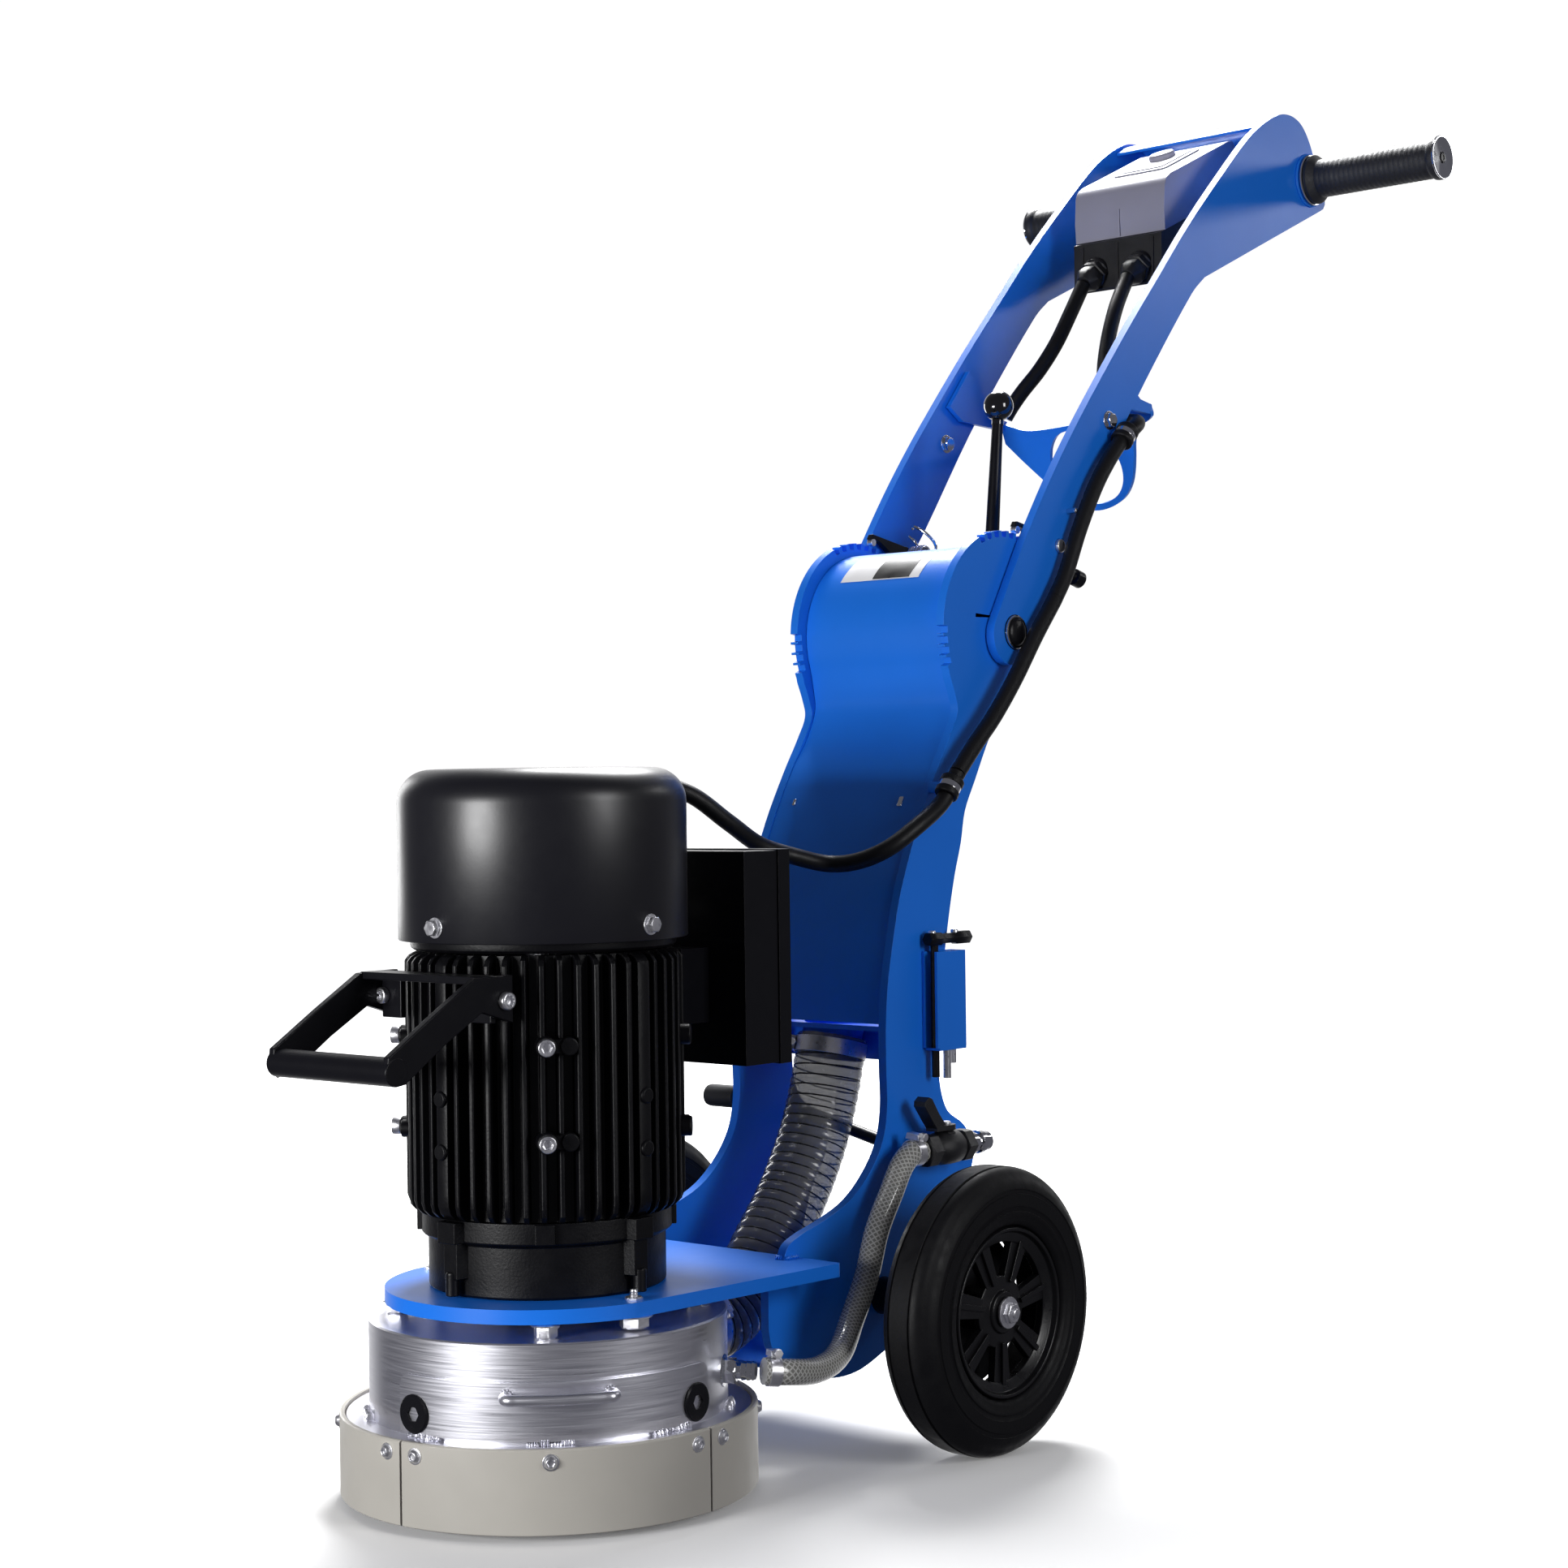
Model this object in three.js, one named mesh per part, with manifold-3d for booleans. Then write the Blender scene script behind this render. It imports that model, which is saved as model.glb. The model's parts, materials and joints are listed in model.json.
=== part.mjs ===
// Walk-behind concrete floor grinder: a vertical electric motor on a disc guard,
// a blue wheeled column, and a long handle that folds forward over the motor.
// Millimetres, +Z up. The spindle axis is at X = Y = 0 inside the machine group,
// the floor is Z = 0, the front is -Y and the handle reaches towards +Y.
import * as THREE from 'three';
import { mergeVertices } from 'three/addons/utils/BufferGeometryUtils.js';
import Module from 'manifold-3d';

const wasm = await Module();
wasm.setup();

// ---------- driving dimensions ----------
const GAP = 0.3;
const MACHINE_FRONT = -210;
const MACHINE_REAR = 994;

const DRUM_R = 132.8;
const DRUM_TOP = 134.7;
const DRUM_WALL = 4;
const FLANGE_R = 150;
const FLANGE_LOW = 60;
const FLANGE_TOP = 64;
const SKIRT_R = 155;
const SKIRT_LOW = 6;
const SKIRT_TOP = 66;
const SKIRT_SEAM_DEG = 3.5;
const SKIRT_PIECES = 4;
const DOOR_CENTRE_DEG = 49;
const DOOR_HALF_DEG = 54;
const DOOR_R = DRUM_R + 0.8;
const DOOR_THICK = 2.7;
const DOOR_LOW = 67;
const DOOR_HIGH = 108;
const PORT_Z = 95;
const PORT_R = 25;
const HOSE_R = 29.5;

const BASE_LOW = 145.5;
const BASE_TOP = 156;
const BASE_FRONT_R = 120.7;
const BASE_BACK_Y = 188;
const BASE_BACK_HALF = 127;

const SHAFT_R = 14;
const BEARING_R = 26;
const MOTOR_FOOT_R = 88;
const MOTOR_STEP_R = 93;
const MOTOR_STEP_Z = 196;
const FIN_LOW = 212;
const FIN_HIGH = 404;
const FIN_R = 105;
const FIN_ROOT_R = 92;
const HOUSING_BORE_R = 84;
const FIN_COUNT = 36;
const SHIELD_TOP = 416;
const COVER_R = 107.5;
const COVER_LOW = 406;
const COVER_TOP = 537;
const COVER_WALL = 2.5;
const COVER_ROUND = 25;
const SHIELD_R = COVER_R - COVER_WALL - 1.2;
const CORE_LOW = 240;
const CORE_HIGH = 370;

const PLATE_IN = 76;
const PLATE_OUT = 84;
const ARM_IN = 85.3;
const ARM_OUT = 93.3;
const PIVOT = { y: 468, z: 650 };
const SECTOR_R = 87;
const FOLD_DEG = 121;
const PIVOT_SHAFT_R = 12;

const LATCH_PIVOT = { y: 534, z: 727 };
const LATCH_ENGAGE_DEG = 6.8;
const TOOTH_R = 3.5;
const TOOTH_DEG = 77;
const TOOTH_RADIUS = 91.5;
const NOTCH_R = 4.4;

const STRUT_Y = 380;
const STRUT_Z = 241;
const STRUT_DROP = 34;

const AXLE = { y: 290, z: 112 };
const AXLE_R = 10;
const WHEEL_R = 112;
const WHEEL_X = 190;
const WHEEL_HALF = 25;
const RIM_R = 66.5;
const RIM_SPOKES = 7;

const GRIP = { y: 962.6, z: 1110.6 };
const GRIP_HALF = 239;
const GRIP_INNER = 97;
const BAR_R = 16;
const CABLE_R = 7;
const CABLE_X = 104.5;

// ---------- finishes ----------
const finish = (color, roughness, metalness) =>
  new THREE.MeshStandardMaterial({ color, roughness, metalness });
const BLUE = finish(0x1f6ad8, 0.3, 0.1);
const BLACK = finish(0x111114, 0.35, 0.1);
const DARK = finish(0x1c1c20, 0.6, 0);
const ALU = finish(0xb8bbbf, 0.35, 0.9);
const STEEL = finish(0x9b9ea3, 0.3, 0.95);
const CAST = finish(0x55575a, 0.6, 0.7);
const BEIGE = finish(0x9c998c, 0.6, 0);
const RUBBER = finish(0x17171a, 0.9, 0);
const CLEAR = finish(0xb9b8ac, 0.2, 0);
const PALE = finish(0xc9c8de, 0.45, 0);
const COPPER = finish(0x9a5b33, 0.4, 0.8);
const RED = finish(0xb81d1d, 0.4, 0);
const GREEN = finish(0x1f9a3c, 0.4, 0);

// ---------- geometry helpers ----------
const rad = THREE.MathUtils.degToRad;
const X_AXIS = new THREE.Vector3(1, 0, 0);
const Y_AXIS = new THREE.Vector3(0, 1, 0);
const Z_AXIS = new THREE.Vector3(0, 0, 1);
const vec = (x, y, z) => new THREE.Vector3(x, y, z);

function signedVolume(position, index) {
  const a = new THREE.Vector3();
  const b = new THREE.Vector3();
  const c = new THREE.Vector3();
  let volume = 0;
  for (let i = 0; i < index.length; i += 3) {
    a.fromArray(position, index[i] * 3);
    b.fromArray(position, index[i + 1] * 3);
    c.fromArray(position, index[i + 2] * 3);
    volume += a.dot(b.cross(c));
  }
  return volume;
}

// A closed geometry as a solid, turned the right way out.
function solid(geometry) {
  const bare = geometry.clone();
  bare.deleteAttribute('normal');
  bare.deleteAttribute('uv');
  const merged = mergeVertices(bare, 1e-4);
  const position = Float32Array.from(merged.attributes.position.array);
  const index = Uint32Array.from(merged.index.array);
  if (signedVolume(position, index) < 0) {
    for (let i = 0; i < index.length; i += 3) {
      [index[i], index[i + 1]] = [index[i + 1], index[i]];
    }
  }
  const mesh = new wasm.Mesh({ numProp: 3, vertProperties: position, triVerts: index });
  return new wasm.Manifold(mesh);
}

function geometryOf(manifold) {
  const mesh = manifold.getMesh();
  const geometry = new THREE.BufferGeometry();
  geometry.setAttribute('position', new THREE.BufferAttribute(mesh.vertProperties, 3));
  geometry.setIndex(new THREE.BufferAttribute(mesh.triVerts, 1));
  geometry.computeVertexNormals();
  return geometry;
}

const join = (first, ...rest) => rest.reduce((sum, piece) => sum.add(piece), first);
const cut = (first, ...rest) => rest.reduce((left, piece) => left.subtract(piece), first);

function shapeFrom(outline, holes = []) {
  const shape = new THREE.Shape(outline.map(([u, v]) => new THREE.Vector2(u, v)));
  for (const hole of holes) {
    shape.holes.push(new THREE.Path(hole.map(([u, v]) => new THREE.Vector2(u, v))));
  }
  return shape;
}

// An outline in the plane of u and v, pushed out by depth along u x v.
function extrude(outline, depth, origin, u, v, holes = []) {
  const options = { depth, bevelEnabled: false };
  const geometry = new THREE.ExtrudeGeometry(shapeFrom(outline, holes), options);
  const w = new THREE.Vector3().crossVectors(u, v);
  geometry.applyMatrix4(new THREE.Matrix4().makeBasis(u, v, w).setPosition(origin));
  return solid(geometry);
}

const plateX = (outline, x0, x1, holes) =>
  extrude(outline, x1 - x0, vec(x0, 0, 0), Y_AXIS, Z_AXIS, holes);
const plateZ = (outline, z0, z1, holes) =>
  extrude(outline, z1 - z0, vec(0, 0, z0), X_AXIS, Y_AXIS, holes);

function block(x0, x1, y0, y1, z0, z1) {
  const geometry = new THREE.BoxGeometry(x1 - x0, y1 - y0, z1 - z0);
  geometry.translate((x0 + x1) / 2, (y0 + y1) / 2, (z0 + z1) / 2);
  return solid(geometry);
}

function arc(cu, cv, r, fromDeg, toDeg, steps) {
  const points = [];
  for (let i = 0; i <= steps; i += 1) {
    const a = rad(fromDeg + ((toDeg - fromDeg) * i) / steps);
    points.push([cu + r * Math.cos(a), cv + r * Math.sin(a)]);
  }
  return points;
}

const circle = (cu, cv, r, steps) => arc(cu, cv, r, 0, 360, steps).slice(0, steps);

// A profile of [radius, height] turned about the Z axis.
function turned(profile, steps) {
  const points = profile.map(([r, z]) => new THREE.Vector2(r, z));
  const geometry = new THREE.LatheGeometry(points, steps);
  geometry.rotateX(Math.PI / 2);
  return geometry;
}

const turnedZ = (profile, steps) => solid(turned([...profile, profile[0]], steps));

// The same about an X axis through (y, z), with heights read as X.
function turnedX(profile, steps, y, z) {
  const geometry = turned([...profile, profile[0]], steps);
  geometry.rotateY(Math.PI / 2);
  geometry.translate(0, y, z);
  return solid(geometry);
}

function rod(from, to, r, sides = 16, endR = r) {
  const along = new THREE.Vector3().subVectors(to, from);
  const geometry = new THREE.CylinderGeometry(endR, r, along.length(), sides);
  const turn = new THREE.Quaternion().setFromUnitVectors(Y_AXIS, along.clone().normalize());
  geometry.applyQuaternion(turn);
  const middle = new THREE.Vector3().addVectors(from, to).multiplyScalar(0.5);
  geometry.translate(middle.x, middle.y, middle.z);
  return solid(geometry);
}

function sphere(centre, r) {
  const geometry = new THREE.SphereGeometry(r, 10, 6);
  geometry.translate(centre.x, centre.y, centre.z);
  return solid(geometry);
}

// A round tube along a smooth curve, hollow when a bore is given.
function tube(points, r, steps, sides = 8, bore = 0) {
  const path = new THREE.CatmullRomCurve3(points.map(([x, y, z]) => vec(x, y, z)));
  const holes = bore > 0 ? [circle(0, 0, bore, sides)] : [];
  const shape = shapeFrom(circle(0, 0, r, sides), holes);
  const options = { steps, extrudePath: path, bevelEnabled: false };
  return solid(new THREE.ExtrudeGeometry(shape, options));
}

// A thin band that follows a line of points with the given thickness.
function ribbon(line, thickness) {
  const left = [];
  const right = [];
  line.forEach((point, i) => {
    const before = line[Math.max(i - 1, 0)];
    const after = line[Math.min(i + 1, line.length - 1)];
    const du = after[0] - before[0];
    const dv = after[1] - before[1];
    const half = thickness / 2 / Math.hypot(du, dv);
    left.push([point[0] - dv * half, point[1] + du * half]);
    right.push([point[0] + dv * half, point[1] - du * half]);
  });
  return [...left, ...right.reverse()];
}

// A point on a circle about the spindle, counted from the front (-Y) towards +X.
const around = (r, deg, z) => vec(r * Math.sin(rad(deg)), -r * Math.cos(rad(deg)), z);

// A sector of a ring about the spindle, in the same angles.
function ringSector(r0, r1, fromDeg, toDeg, z0, z1, steps) {
  const outer = arc(0, 0, r1, fromDeg - 90, toDeg - 90, steps);
  const inner = arc(0, 0, r0, toDeg - 90, fromDeg - 90, steps);
  return plateZ([...outer, ...inner], z0, z1);
}

function turnAbout(pivot, y, z, deg) {
  const a = rad(deg);
  const dy = y - pivot.y;
  const dz = z - pivot.z;
  return {
    y: pivot.y + dy * Math.cos(a) - dz * Math.sin(a),
    z: pivot.z + dy * Math.sin(a) + dz * Math.cos(a),
  };
}

const machine = new THREE.Group();
machine.position.y = -(MACHINE_FRONT + MACHINE_REAR) / 2;

function place(name, manifold, material) {
  const mesh = new THREE.Mesh(geometryOf(manifold), material);
  mesh.name = name;
  machine.add(mesh);
}

// ---------- base plate and disc guard ----------
function basePlate() {
  const front = arc(0, 0, BASE_FRONT_R, 195, 345, 28);
  const outline = [
    ...front,
    [BASE_BACK_HALF, BASE_BACK_Y],
    [-BASE_BACK_HALF, BASE_BACK_Y],
  ];
  return plateZ(outline, BASE_LOW, BASE_TOP, [circle(0, 0, 48, 24)]);
}

function guardDrum() {
  const inner = DRUM_R - DRUM_WALL;
  const ceiling = DRUM_TOP - DRUM_WALL;
  const shell = turnedZ([
    [inner, FLANGE_LOW], [FLANGE_R, FLANGE_LOW], [FLANGE_R, FLANGE_TOP], [DRUM_R, FLANGE_TOP],
    [DRUM_R, DRUM_TOP], [45, DRUM_TOP], [45, ceiling], [inner, ceiling],
  ], 36);
  const port = rod(vec(0, inner - 8, PORT_Z), vec(0, 169, PORT_Z), PORT_R, 14);
  const portBore = rod(vec(0, inner - 40, PORT_Z), vec(0, 190, PORT_Z), PORT_R - 3, 14);
  const inside = turnedZ([[0, FLANGE_LOW - 2], [inner, FLANGE_LOW - 2], [inner, ceiling], [0, ceiling]], 36);
  const spacers = [45, 135, 225, 315].map((deg) =>
    rod(around(112, deg, DRUM_TOP - 1), around(112, deg, BASE_LOW - GAP), 9, 8));
  const window = ringSector(
    inner - 6, DRUM_R + 6,
    DOOR_CENTRE_DEG - DOOR_HALF_DEG + 8, DOOR_CENTRE_DEG + DOOR_HALF_DEG - 8,
    DOOR_LOW + 5, DOOR_HIGH - 5, 10,
  );
  const nipple = rod(around(DRUM_R - 2, 121, 92), around(DRUM_R + 24, 121, 92), 7, 8);
  return cut(join(shell, cut(port, inside), ...spacers, nipple), portBore, window);
}

function guardDoor() {
  const sheet = ringSector(
    DOOR_R, DOOR_R + DOOR_THICK,
    DOOR_CENTRE_DEG - DOOR_HALF_DEG, DOOR_CENTRE_DEG + DOOR_HALF_DEG,
    DOOR_LOW, DOOR_HIGH, 12,
  );
  const loopZ = 99;
  const ends = [-15.5, 15.5].map((deg) => DOOR_CENTRE_DEG + deg);
  const legs = ends.map((deg) => rod(around(DOOR_R + 1, deg, loopZ), around(DOOR_R + 19, deg, loopZ), 3, 6));
  const barPoints = [-1.07, -0.6, 0, 0.6, 1.07].map((part) => {
    const point = around(DOOR_R + 17, DOOR_CENTRE_DEG + 15.5 * part, loopZ);
    return [point.x, point.y, point.z];
  });
  return join(sheet, ...legs, tube(barPoints, 3, 6, 6));
}

// ---------- drive line ----------
function driveHub() {
  const collar = turnedZ([[SHAFT_R + GAP, 122], [32, 122], [32, 150], [SHAFT_R + GAP, 150]], 20);
  const plate = turnedZ([[SHAFT_R + GAP, 112], [62, 112], [62, 122.4], [SHAFT_R + GAP, 122.4]], 20);
  return join(collar, plate);
}

function diamondShoe(deg) {
  const pad = ringSector(62, 108, deg - 24, deg + 24, 16, 27, 8);
  const rows = [-12, 12].map((offset) =>
    ringSector(68, 104, deg + offset - 7, deg + offset + 7, 0, 16.4, 4));
  return join(pad, ...rows);
}

function coolingFan() {
  const hub = turnedZ([[SHAFT_R + GAP, 430], [26, 430], [26, 458], [SHAFT_R + GAP, 458]], 20);
  const back = turnedZ([[24, 430], [82, 430], [82, 433.4], [24, 433.4]], 20);
  const blades = [];
  for (let deg = 0; deg < 360; deg += 45) {
    const tip = around(80, deg, 0);
    const root = around(25, deg, 0);
    const side = around(1.2, deg + 90, 0);
    const corners = [
      [root.x - side.x, root.y - side.y], [tip.x - side.x, tip.y - side.y],
      [tip.x + side.x, tip.y + side.y], [root.x + side.x, root.y + side.y],
    ];
    blades.push(plateZ(corners, 432, 462));
  }
  return join(hub, back, ...blades);
}

// ---------- motor ----------
function motorHousing() {
  const outline = [];
  const pitch = 360 / FIN_COUNT;
  for (let i = 0; i < FIN_COUNT; i += 1) {
    const deg = i * pitch;
    const half = i % (FIN_COUNT / 4) === 0 ? pitch * 0.46 : pitch * 0.2;
    for (const [r, offset] of [[FIN_ROOT_R, -half], [FIN_R, -half], [FIN_R, half], [FIN_ROOT_R, half]]) {
      const point = around(r, deg + offset, 0);
      outline.push([point.x, point.y]);
    }
  }
  const finned = plateZ(outline, FIN_LOW + GAP, FIN_HIGH, [circle(0, 0, HOUSING_BORE_R, 28)]);
  const pads = [];
  for (const deg of [51, -51]) {
    for (const z of [271, 339]) {
      pads.push(ringSector(FIN_ROOT_R - 2, FIN_R + 3, deg - 9, deg + 9, z - 16, z + 16, 1));
    }
  }
  return join(finned, ...pads);
}

function motorFlange() {
  return turnedZ([
    [20, BASE_TOP + GAP], [MOTOR_FOOT_R, BASE_TOP + GAP], [MOTOR_FOOT_R, MOTOR_STEP_Z],
    [MOTOR_STEP_R, MOTOR_STEP_Z], [MOTOR_STEP_R, FIN_LOW], [80, FIN_LOW], [80, 182],
    [BEARING_R + GAP, 182], [BEARING_R + GAP, 162], [20, 162],
  ], 28);
}

function fanCover() {
  const innerR = COVER_R - COVER_WALL;
  const topIn = COVER_TOP - COVER_WALL;
  const corner = COVER_R - COVER_ROUND;
  const outerArc = arc(corner, COVER_TOP - COVER_ROUND, COVER_ROUND, 0, 90, 3);
  const innerArc = arc(corner, COVER_TOP - COVER_ROUND, COVER_ROUND - COVER_WALL, 90, 0, 3);
  const profile = [
    [innerR, COVER_LOW], [COVER_R, COVER_LOW], ...outerArc, [0, COVER_TOP], [0, topIn], ...innerArc,
  ];
  const shell = solid(turned([...profile, profile[0]], 32));
  const slots = [];
  for (let deg = 0; deg < 360; deg += 36) {
    slots.push(ringSector(28, 76, deg - 3, deg + 3, COVER_TOP - 6, COVER_TOP + 2, 1));
  }
  return cut(shell, ...slots);
}

function terminalBox() {
  const outer = block(-78, 78, 137, 189, 308, 472);
  const pocket = block(-74, 74, 141, 185, 312, 468);
  const neck = block(-40, 40, FIN_R + 0.5, 140, 340, 398);
  const passage = rod(vec(0, FIN_R - 5, 369), vec(0, 150, 369), 22, 10);
  const gland = rod(vec(-40, 163, 466), vec(-40, 163, 485), 11, 8);
  const glandBore = rod(vec(-40, 163, 460), vec(-40, 163, 490), CABLE_R + GAP, 8);
  return cut(join(cut(outer, pocket), neck, gland), passage, glandBore);
}

function frontHandle() {
  const sideX = 61;
  const sideOutline = [[-88.5, 392], [-128, 390], [-208, 341], [-206, 322], [-193, 322], [-120, 366], [-88.5, 356]];
  const sides = [-sideX, sideX].map((x) => plateX(sideOutline, x - 3, x + 3));
  const bar = rod(vec(-sideX - 3, -200, 331), vec(sideX + 3, -200, 331), 10, 12);
  const strap = block(-sideX, sideX, -124, -106, 385, 391);
  return join(bar, strap, ...sides);
}

// ---------- column ----------
const platePoints = {
  front: [
    [401, 583], [371, 536], [345, 491], [320, 434], [310, 398], [302, 360], [299, 329], [299, 261],
    [292.6, 234.7], [276, 212], [251, 192.5], [220, 180.7], [187, 171.9], [170, BASE_TOP + GAP],
  ],
  underBase: [
    [BASE_BACK_Y + GAP, BASE_TOP + GAP], [BASE_BACK_Y + GAP, BASE_LOW - GAP],
    [152, BASE_LOW - GAP], [152, 100], [190, 66], [235, 54],
  ],
  back: [
    [300, 70], [340, 90], [372, 130], [392, 180], [412, 200], [416, 222], [400, 240], [372, 252],
    [367, 300], [382, 406], [392, 446], [401, 473], [407, 499], [419, 518], [444, 563], [472, 598],
    [502, 634],
  ],
};

const toothAtRest = {
  y: PIVOT.y + TOOTH_RADIUS * Math.cos(rad(TOOTH_DEG)),
  z: PIVOT.z + TOOTH_RADIUS * Math.sin(rad(TOOTH_DEG)),
};

// Notches lie where the latch tooth lands, for the folded stops and around the upright ones.
function notchAngles() {
  const landed = turnAbout(LATCH_PIVOT, toothAtRest.y, toothAtRest.z, LATCH_ENGAGE_DEG);
  const base = THREE.MathUtils.radToDeg(Math.atan2(landed.z - PIVOT.z, landed.y - PIVOT.y));
  const upright = [-7, 0, 7, 14, 21, 28, 35];
  const folded = [FOLD_DEG - 18, FOLD_DEG - 12, FOLD_DEG - 6, FOLD_DEG];
  return [...upright, ...folded].map((step) => base + step);
}

function sidePlate(x0, x1) {
  const sector = arc(PIVOT.y, PIVOT.z, SECTOR_R, 66, 204, 18);
  const outline = [
    [506, 722], ...sector, ...platePoints.front, ...platePoints.underBase, ...platePoints.back,
  ];
  const holes = [circle(PIVOT.y, PIVOT.z, PIVOT_SHAFT_R + 0.6, 14), circle(AXLE.y, AXLE.z, AXLE_R + 0.6, 14)];
  const notches = notchAngles().map((deg) => {
    const y = PIVOT.y + (SECTOR_R - 1.5) * Math.cos(rad(deg));
    const z = PIVOT.z + (SECTOR_R - 1.5) * Math.sin(rad(deg));
    return rod(vec(x0 - 1, y, z), vec(x1 + 1, y, z), NOTCH_R, 6);
  });
  return cut(plateX(outline, x0, x1, holes), ...notches);
}

// The left plate carries the belly pan and a strut, both reaching the right plate.
function leftPlateWithPan() {
  const half = PLATE_IN - GAP;
  const line = [[206, 61.5], [235, 57.5], [267, 62.5], [300, 74.5], [336, 93.5], [362, 126]];
  const pan = plateX(ribbon(line, 3), -PLATE_IN - 1, half);
  const strut = rod(vec(-PLATE_IN - 1, STRUT_Y, STRUT_Z), vec(half - 2, STRUT_Y, STRUT_Z - STRUT_DROP), 5.5, 8);
  return join(sidePlate(-PLATE_OUT, -PLATE_IN), pan, strut);
}

function columnSheet() {
  const line = [
    ...arc(PIVOT.y, PIVOT.z, 74, 52, 206, 12),
    [405, 584], [374.5, 537.5], [348.5, 492.5], [323.5, 435.5], [313.5, 399.5], [305.5, 361.5],
    [302.5, 328],
  ];
  return plateX(ribbon(line, 3), -PLATE_IN + GAP, PLATE_IN - GAP);
}

function dustPort() {
  const half = PLATE_IN - GAP;
  const floor = block(-half, half, 303, 366, 322, 326);
  const apron = block(-half, half, 362, 366, 292, 324);
  const route = [[0, 326.8, 296], [0, 333, 320], [0, 347, 345], [0, 374, 362], [0, 404, 368], [0, 440, 368]];
  const pipe = tube(route, PORT_R, 8, 12);
  const bore = tube([[0, 323.7, 284], ...route, [0, 452, 368]], PORT_R - 3, 10, 12);
  return cut(join(floor, apron, pipe), bore);
}

// ---------- running gear ----------
function axleBar() {
  const collar = 15;
  const inner = PLATE_OUT + GAP;
  const outer = WHEEL_X - WHEEL_HALF + 1.5;
  const tip = WHEEL_X + WHEEL_HALF - 6;
  const half = [[AXLE_R, inner], [collar, inner], [collar, outer], [AXLE_R, outer], [AXLE_R, tip],
    [12.5, tip], [12.5, tip + 2.4], [7.5, tip + 2.4], [7.5, tip + 9], [0, tip + 9]];
  const mirrored = half.map(([r, x]) => [r, -x]).reverse();
  return turnedX([...mirrored, ...half], 14, AXLE.y, AXLE.z);
}

function tyre(side) {
  const wide = WHEEL_HALF;
  const profile = [
    [RIM_R + GAP, -wide + 4], [86, -wide], [100, -wide], [108, -wide + 4], [WHEEL_R, -wide + 11],
    [WHEEL_R, wide - 11], [108, wide - 4], [100, wide], [86, wide], [RIM_R + GAP, wide - 4],
  ].map(([r, x]) => [r, side * WHEEL_X + x]);
  return turnedX(profile, 28, AXLE.y, AXLE.z);
}

function rim(side) {
  const middle = side * WHEEL_X;
  const face = middle + side * 12;
  const ring = [[60, -21], [RIM_R, -21], [RIM_R, 21], [60, 21]];
  const hub = [[AXLE_R + 0.4, -22], [17, -22], [17, 17], [AXLE_R + 0.4, 17]];
  const backWeb = [[15, -21], [62, -21], [62, -18.5], [15, -18.5]];
  const windows = [];
  for (let i = 0; i < RIM_SPOKES; i += 1) {
    const deg = (360 / RIM_SPOKES) * i;
    const half = 180 / RIM_SPOKES;
    windows.push([
      ...arc(AXLE.y, AXLE.z, 54, deg - half + 7, deg + half - 7, 2),
      ...arc(AXLE.y, AXLE.z, 27, deg + half - 13, deg - half + 13, 1),
    ]);
  }
  const web = plateX(
    circle(AXLE.y, AXLE.z, 62, 28), face - 4, face + 4,
    [circle(AXLE.y, AXLE.z, 15, 12), ...windows],
  );
  const turnedPart = (profile) =>
    turnedX(profile.map(([r, x]) => [r, middle + side * x]), 28, AXLE.y, AXLE.z);
  return join(web, turnedPart(ring), turnedPart(hub), turnedPart(backWeb));
}

// ---------- folding handle ----------
const armOutline = [
  ...arc(463, 647, 25, 235, 150, 6),
  [482.4, 727.6], [522.6, 784.6], [599.7, 878.4], [691.5, 978.2], [747.8, 1037.6], [806, 1092.8],
  [853.8, 1135.1], [899.6, 1162.7], [927.4, 1169.1], [949, 1164.1], [967.3, 1145], [994, 1096],
  [984, 1084], [772, 991], [740.5, 963.2], [700.9, 919], [643, 850], [572, 754], [521, 690],
  [486, 636],
];

function arm(x0, x1) {
  const holes = [
    circle(PIVOT.y, PIVOT.z, PIVOT_SHAFT_R + 0.6, 14),
    circle(GRIP.y, GRIP.z, BAR_R + GAP, 16),
    circle(LATCH_PIVOT.y, LATCH_PIVOT.z, 6.4, 8),
  ];
  return plateX(armOutline, x0, x1, holes);
}

const HANGER_TOP = { y: 690, z: 862 };
const HANGER_DOWN = vec(0, 0.4, -0.917).normalize();

function hangerPlate() {
  const outline = [
    [-84, -3], [-59, 7], [-23, 8], [8, 6], [40, 1], [72, -5], [84, -3], [84, 8], [66, 18], [56, 41],
    [44, 71], [33, 82], [22, 88], [0, 92], [-14, 89], [-32, 78], [-48, 61], [-68, 38], [-84, 18],
  ];
  const eye = [
    [-38, 37], [-30, 21], [-10, 12], [12, 13], [27, 22], [36, 38], [39, 54], [36, 68], [27, 79],
    [11, 85], [-6, 84], [-26, 72], [-37, 54],
  ];
  const plate = extrude(
    outline, 5, vec(0, HANGER_TOP.y, HANGER_TOP.z), X_AXIS, HANGER_DOWN, [eye],
  );
  const tabOutline = [[606, 872], [636, 908], [664, 878], [676, 869], [694, 866], [696, 857], [626, 860]];
  const tabs = [[-84.5, -79.5], [79.5, 84.5]].map(([x0, x1]) => plateX(tabOutline, x0, x1));
  return join(plate, ...tabs);
}

function crossPlate() {
  const line = [[892, 1153], [908, 1161.5], [927, 1165.5], [946, 1161], [958, 1147]];
  return plateX(ribbon(line, 3), -ARM_IN + GAP, ARM_IN - GAP);
}

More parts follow.
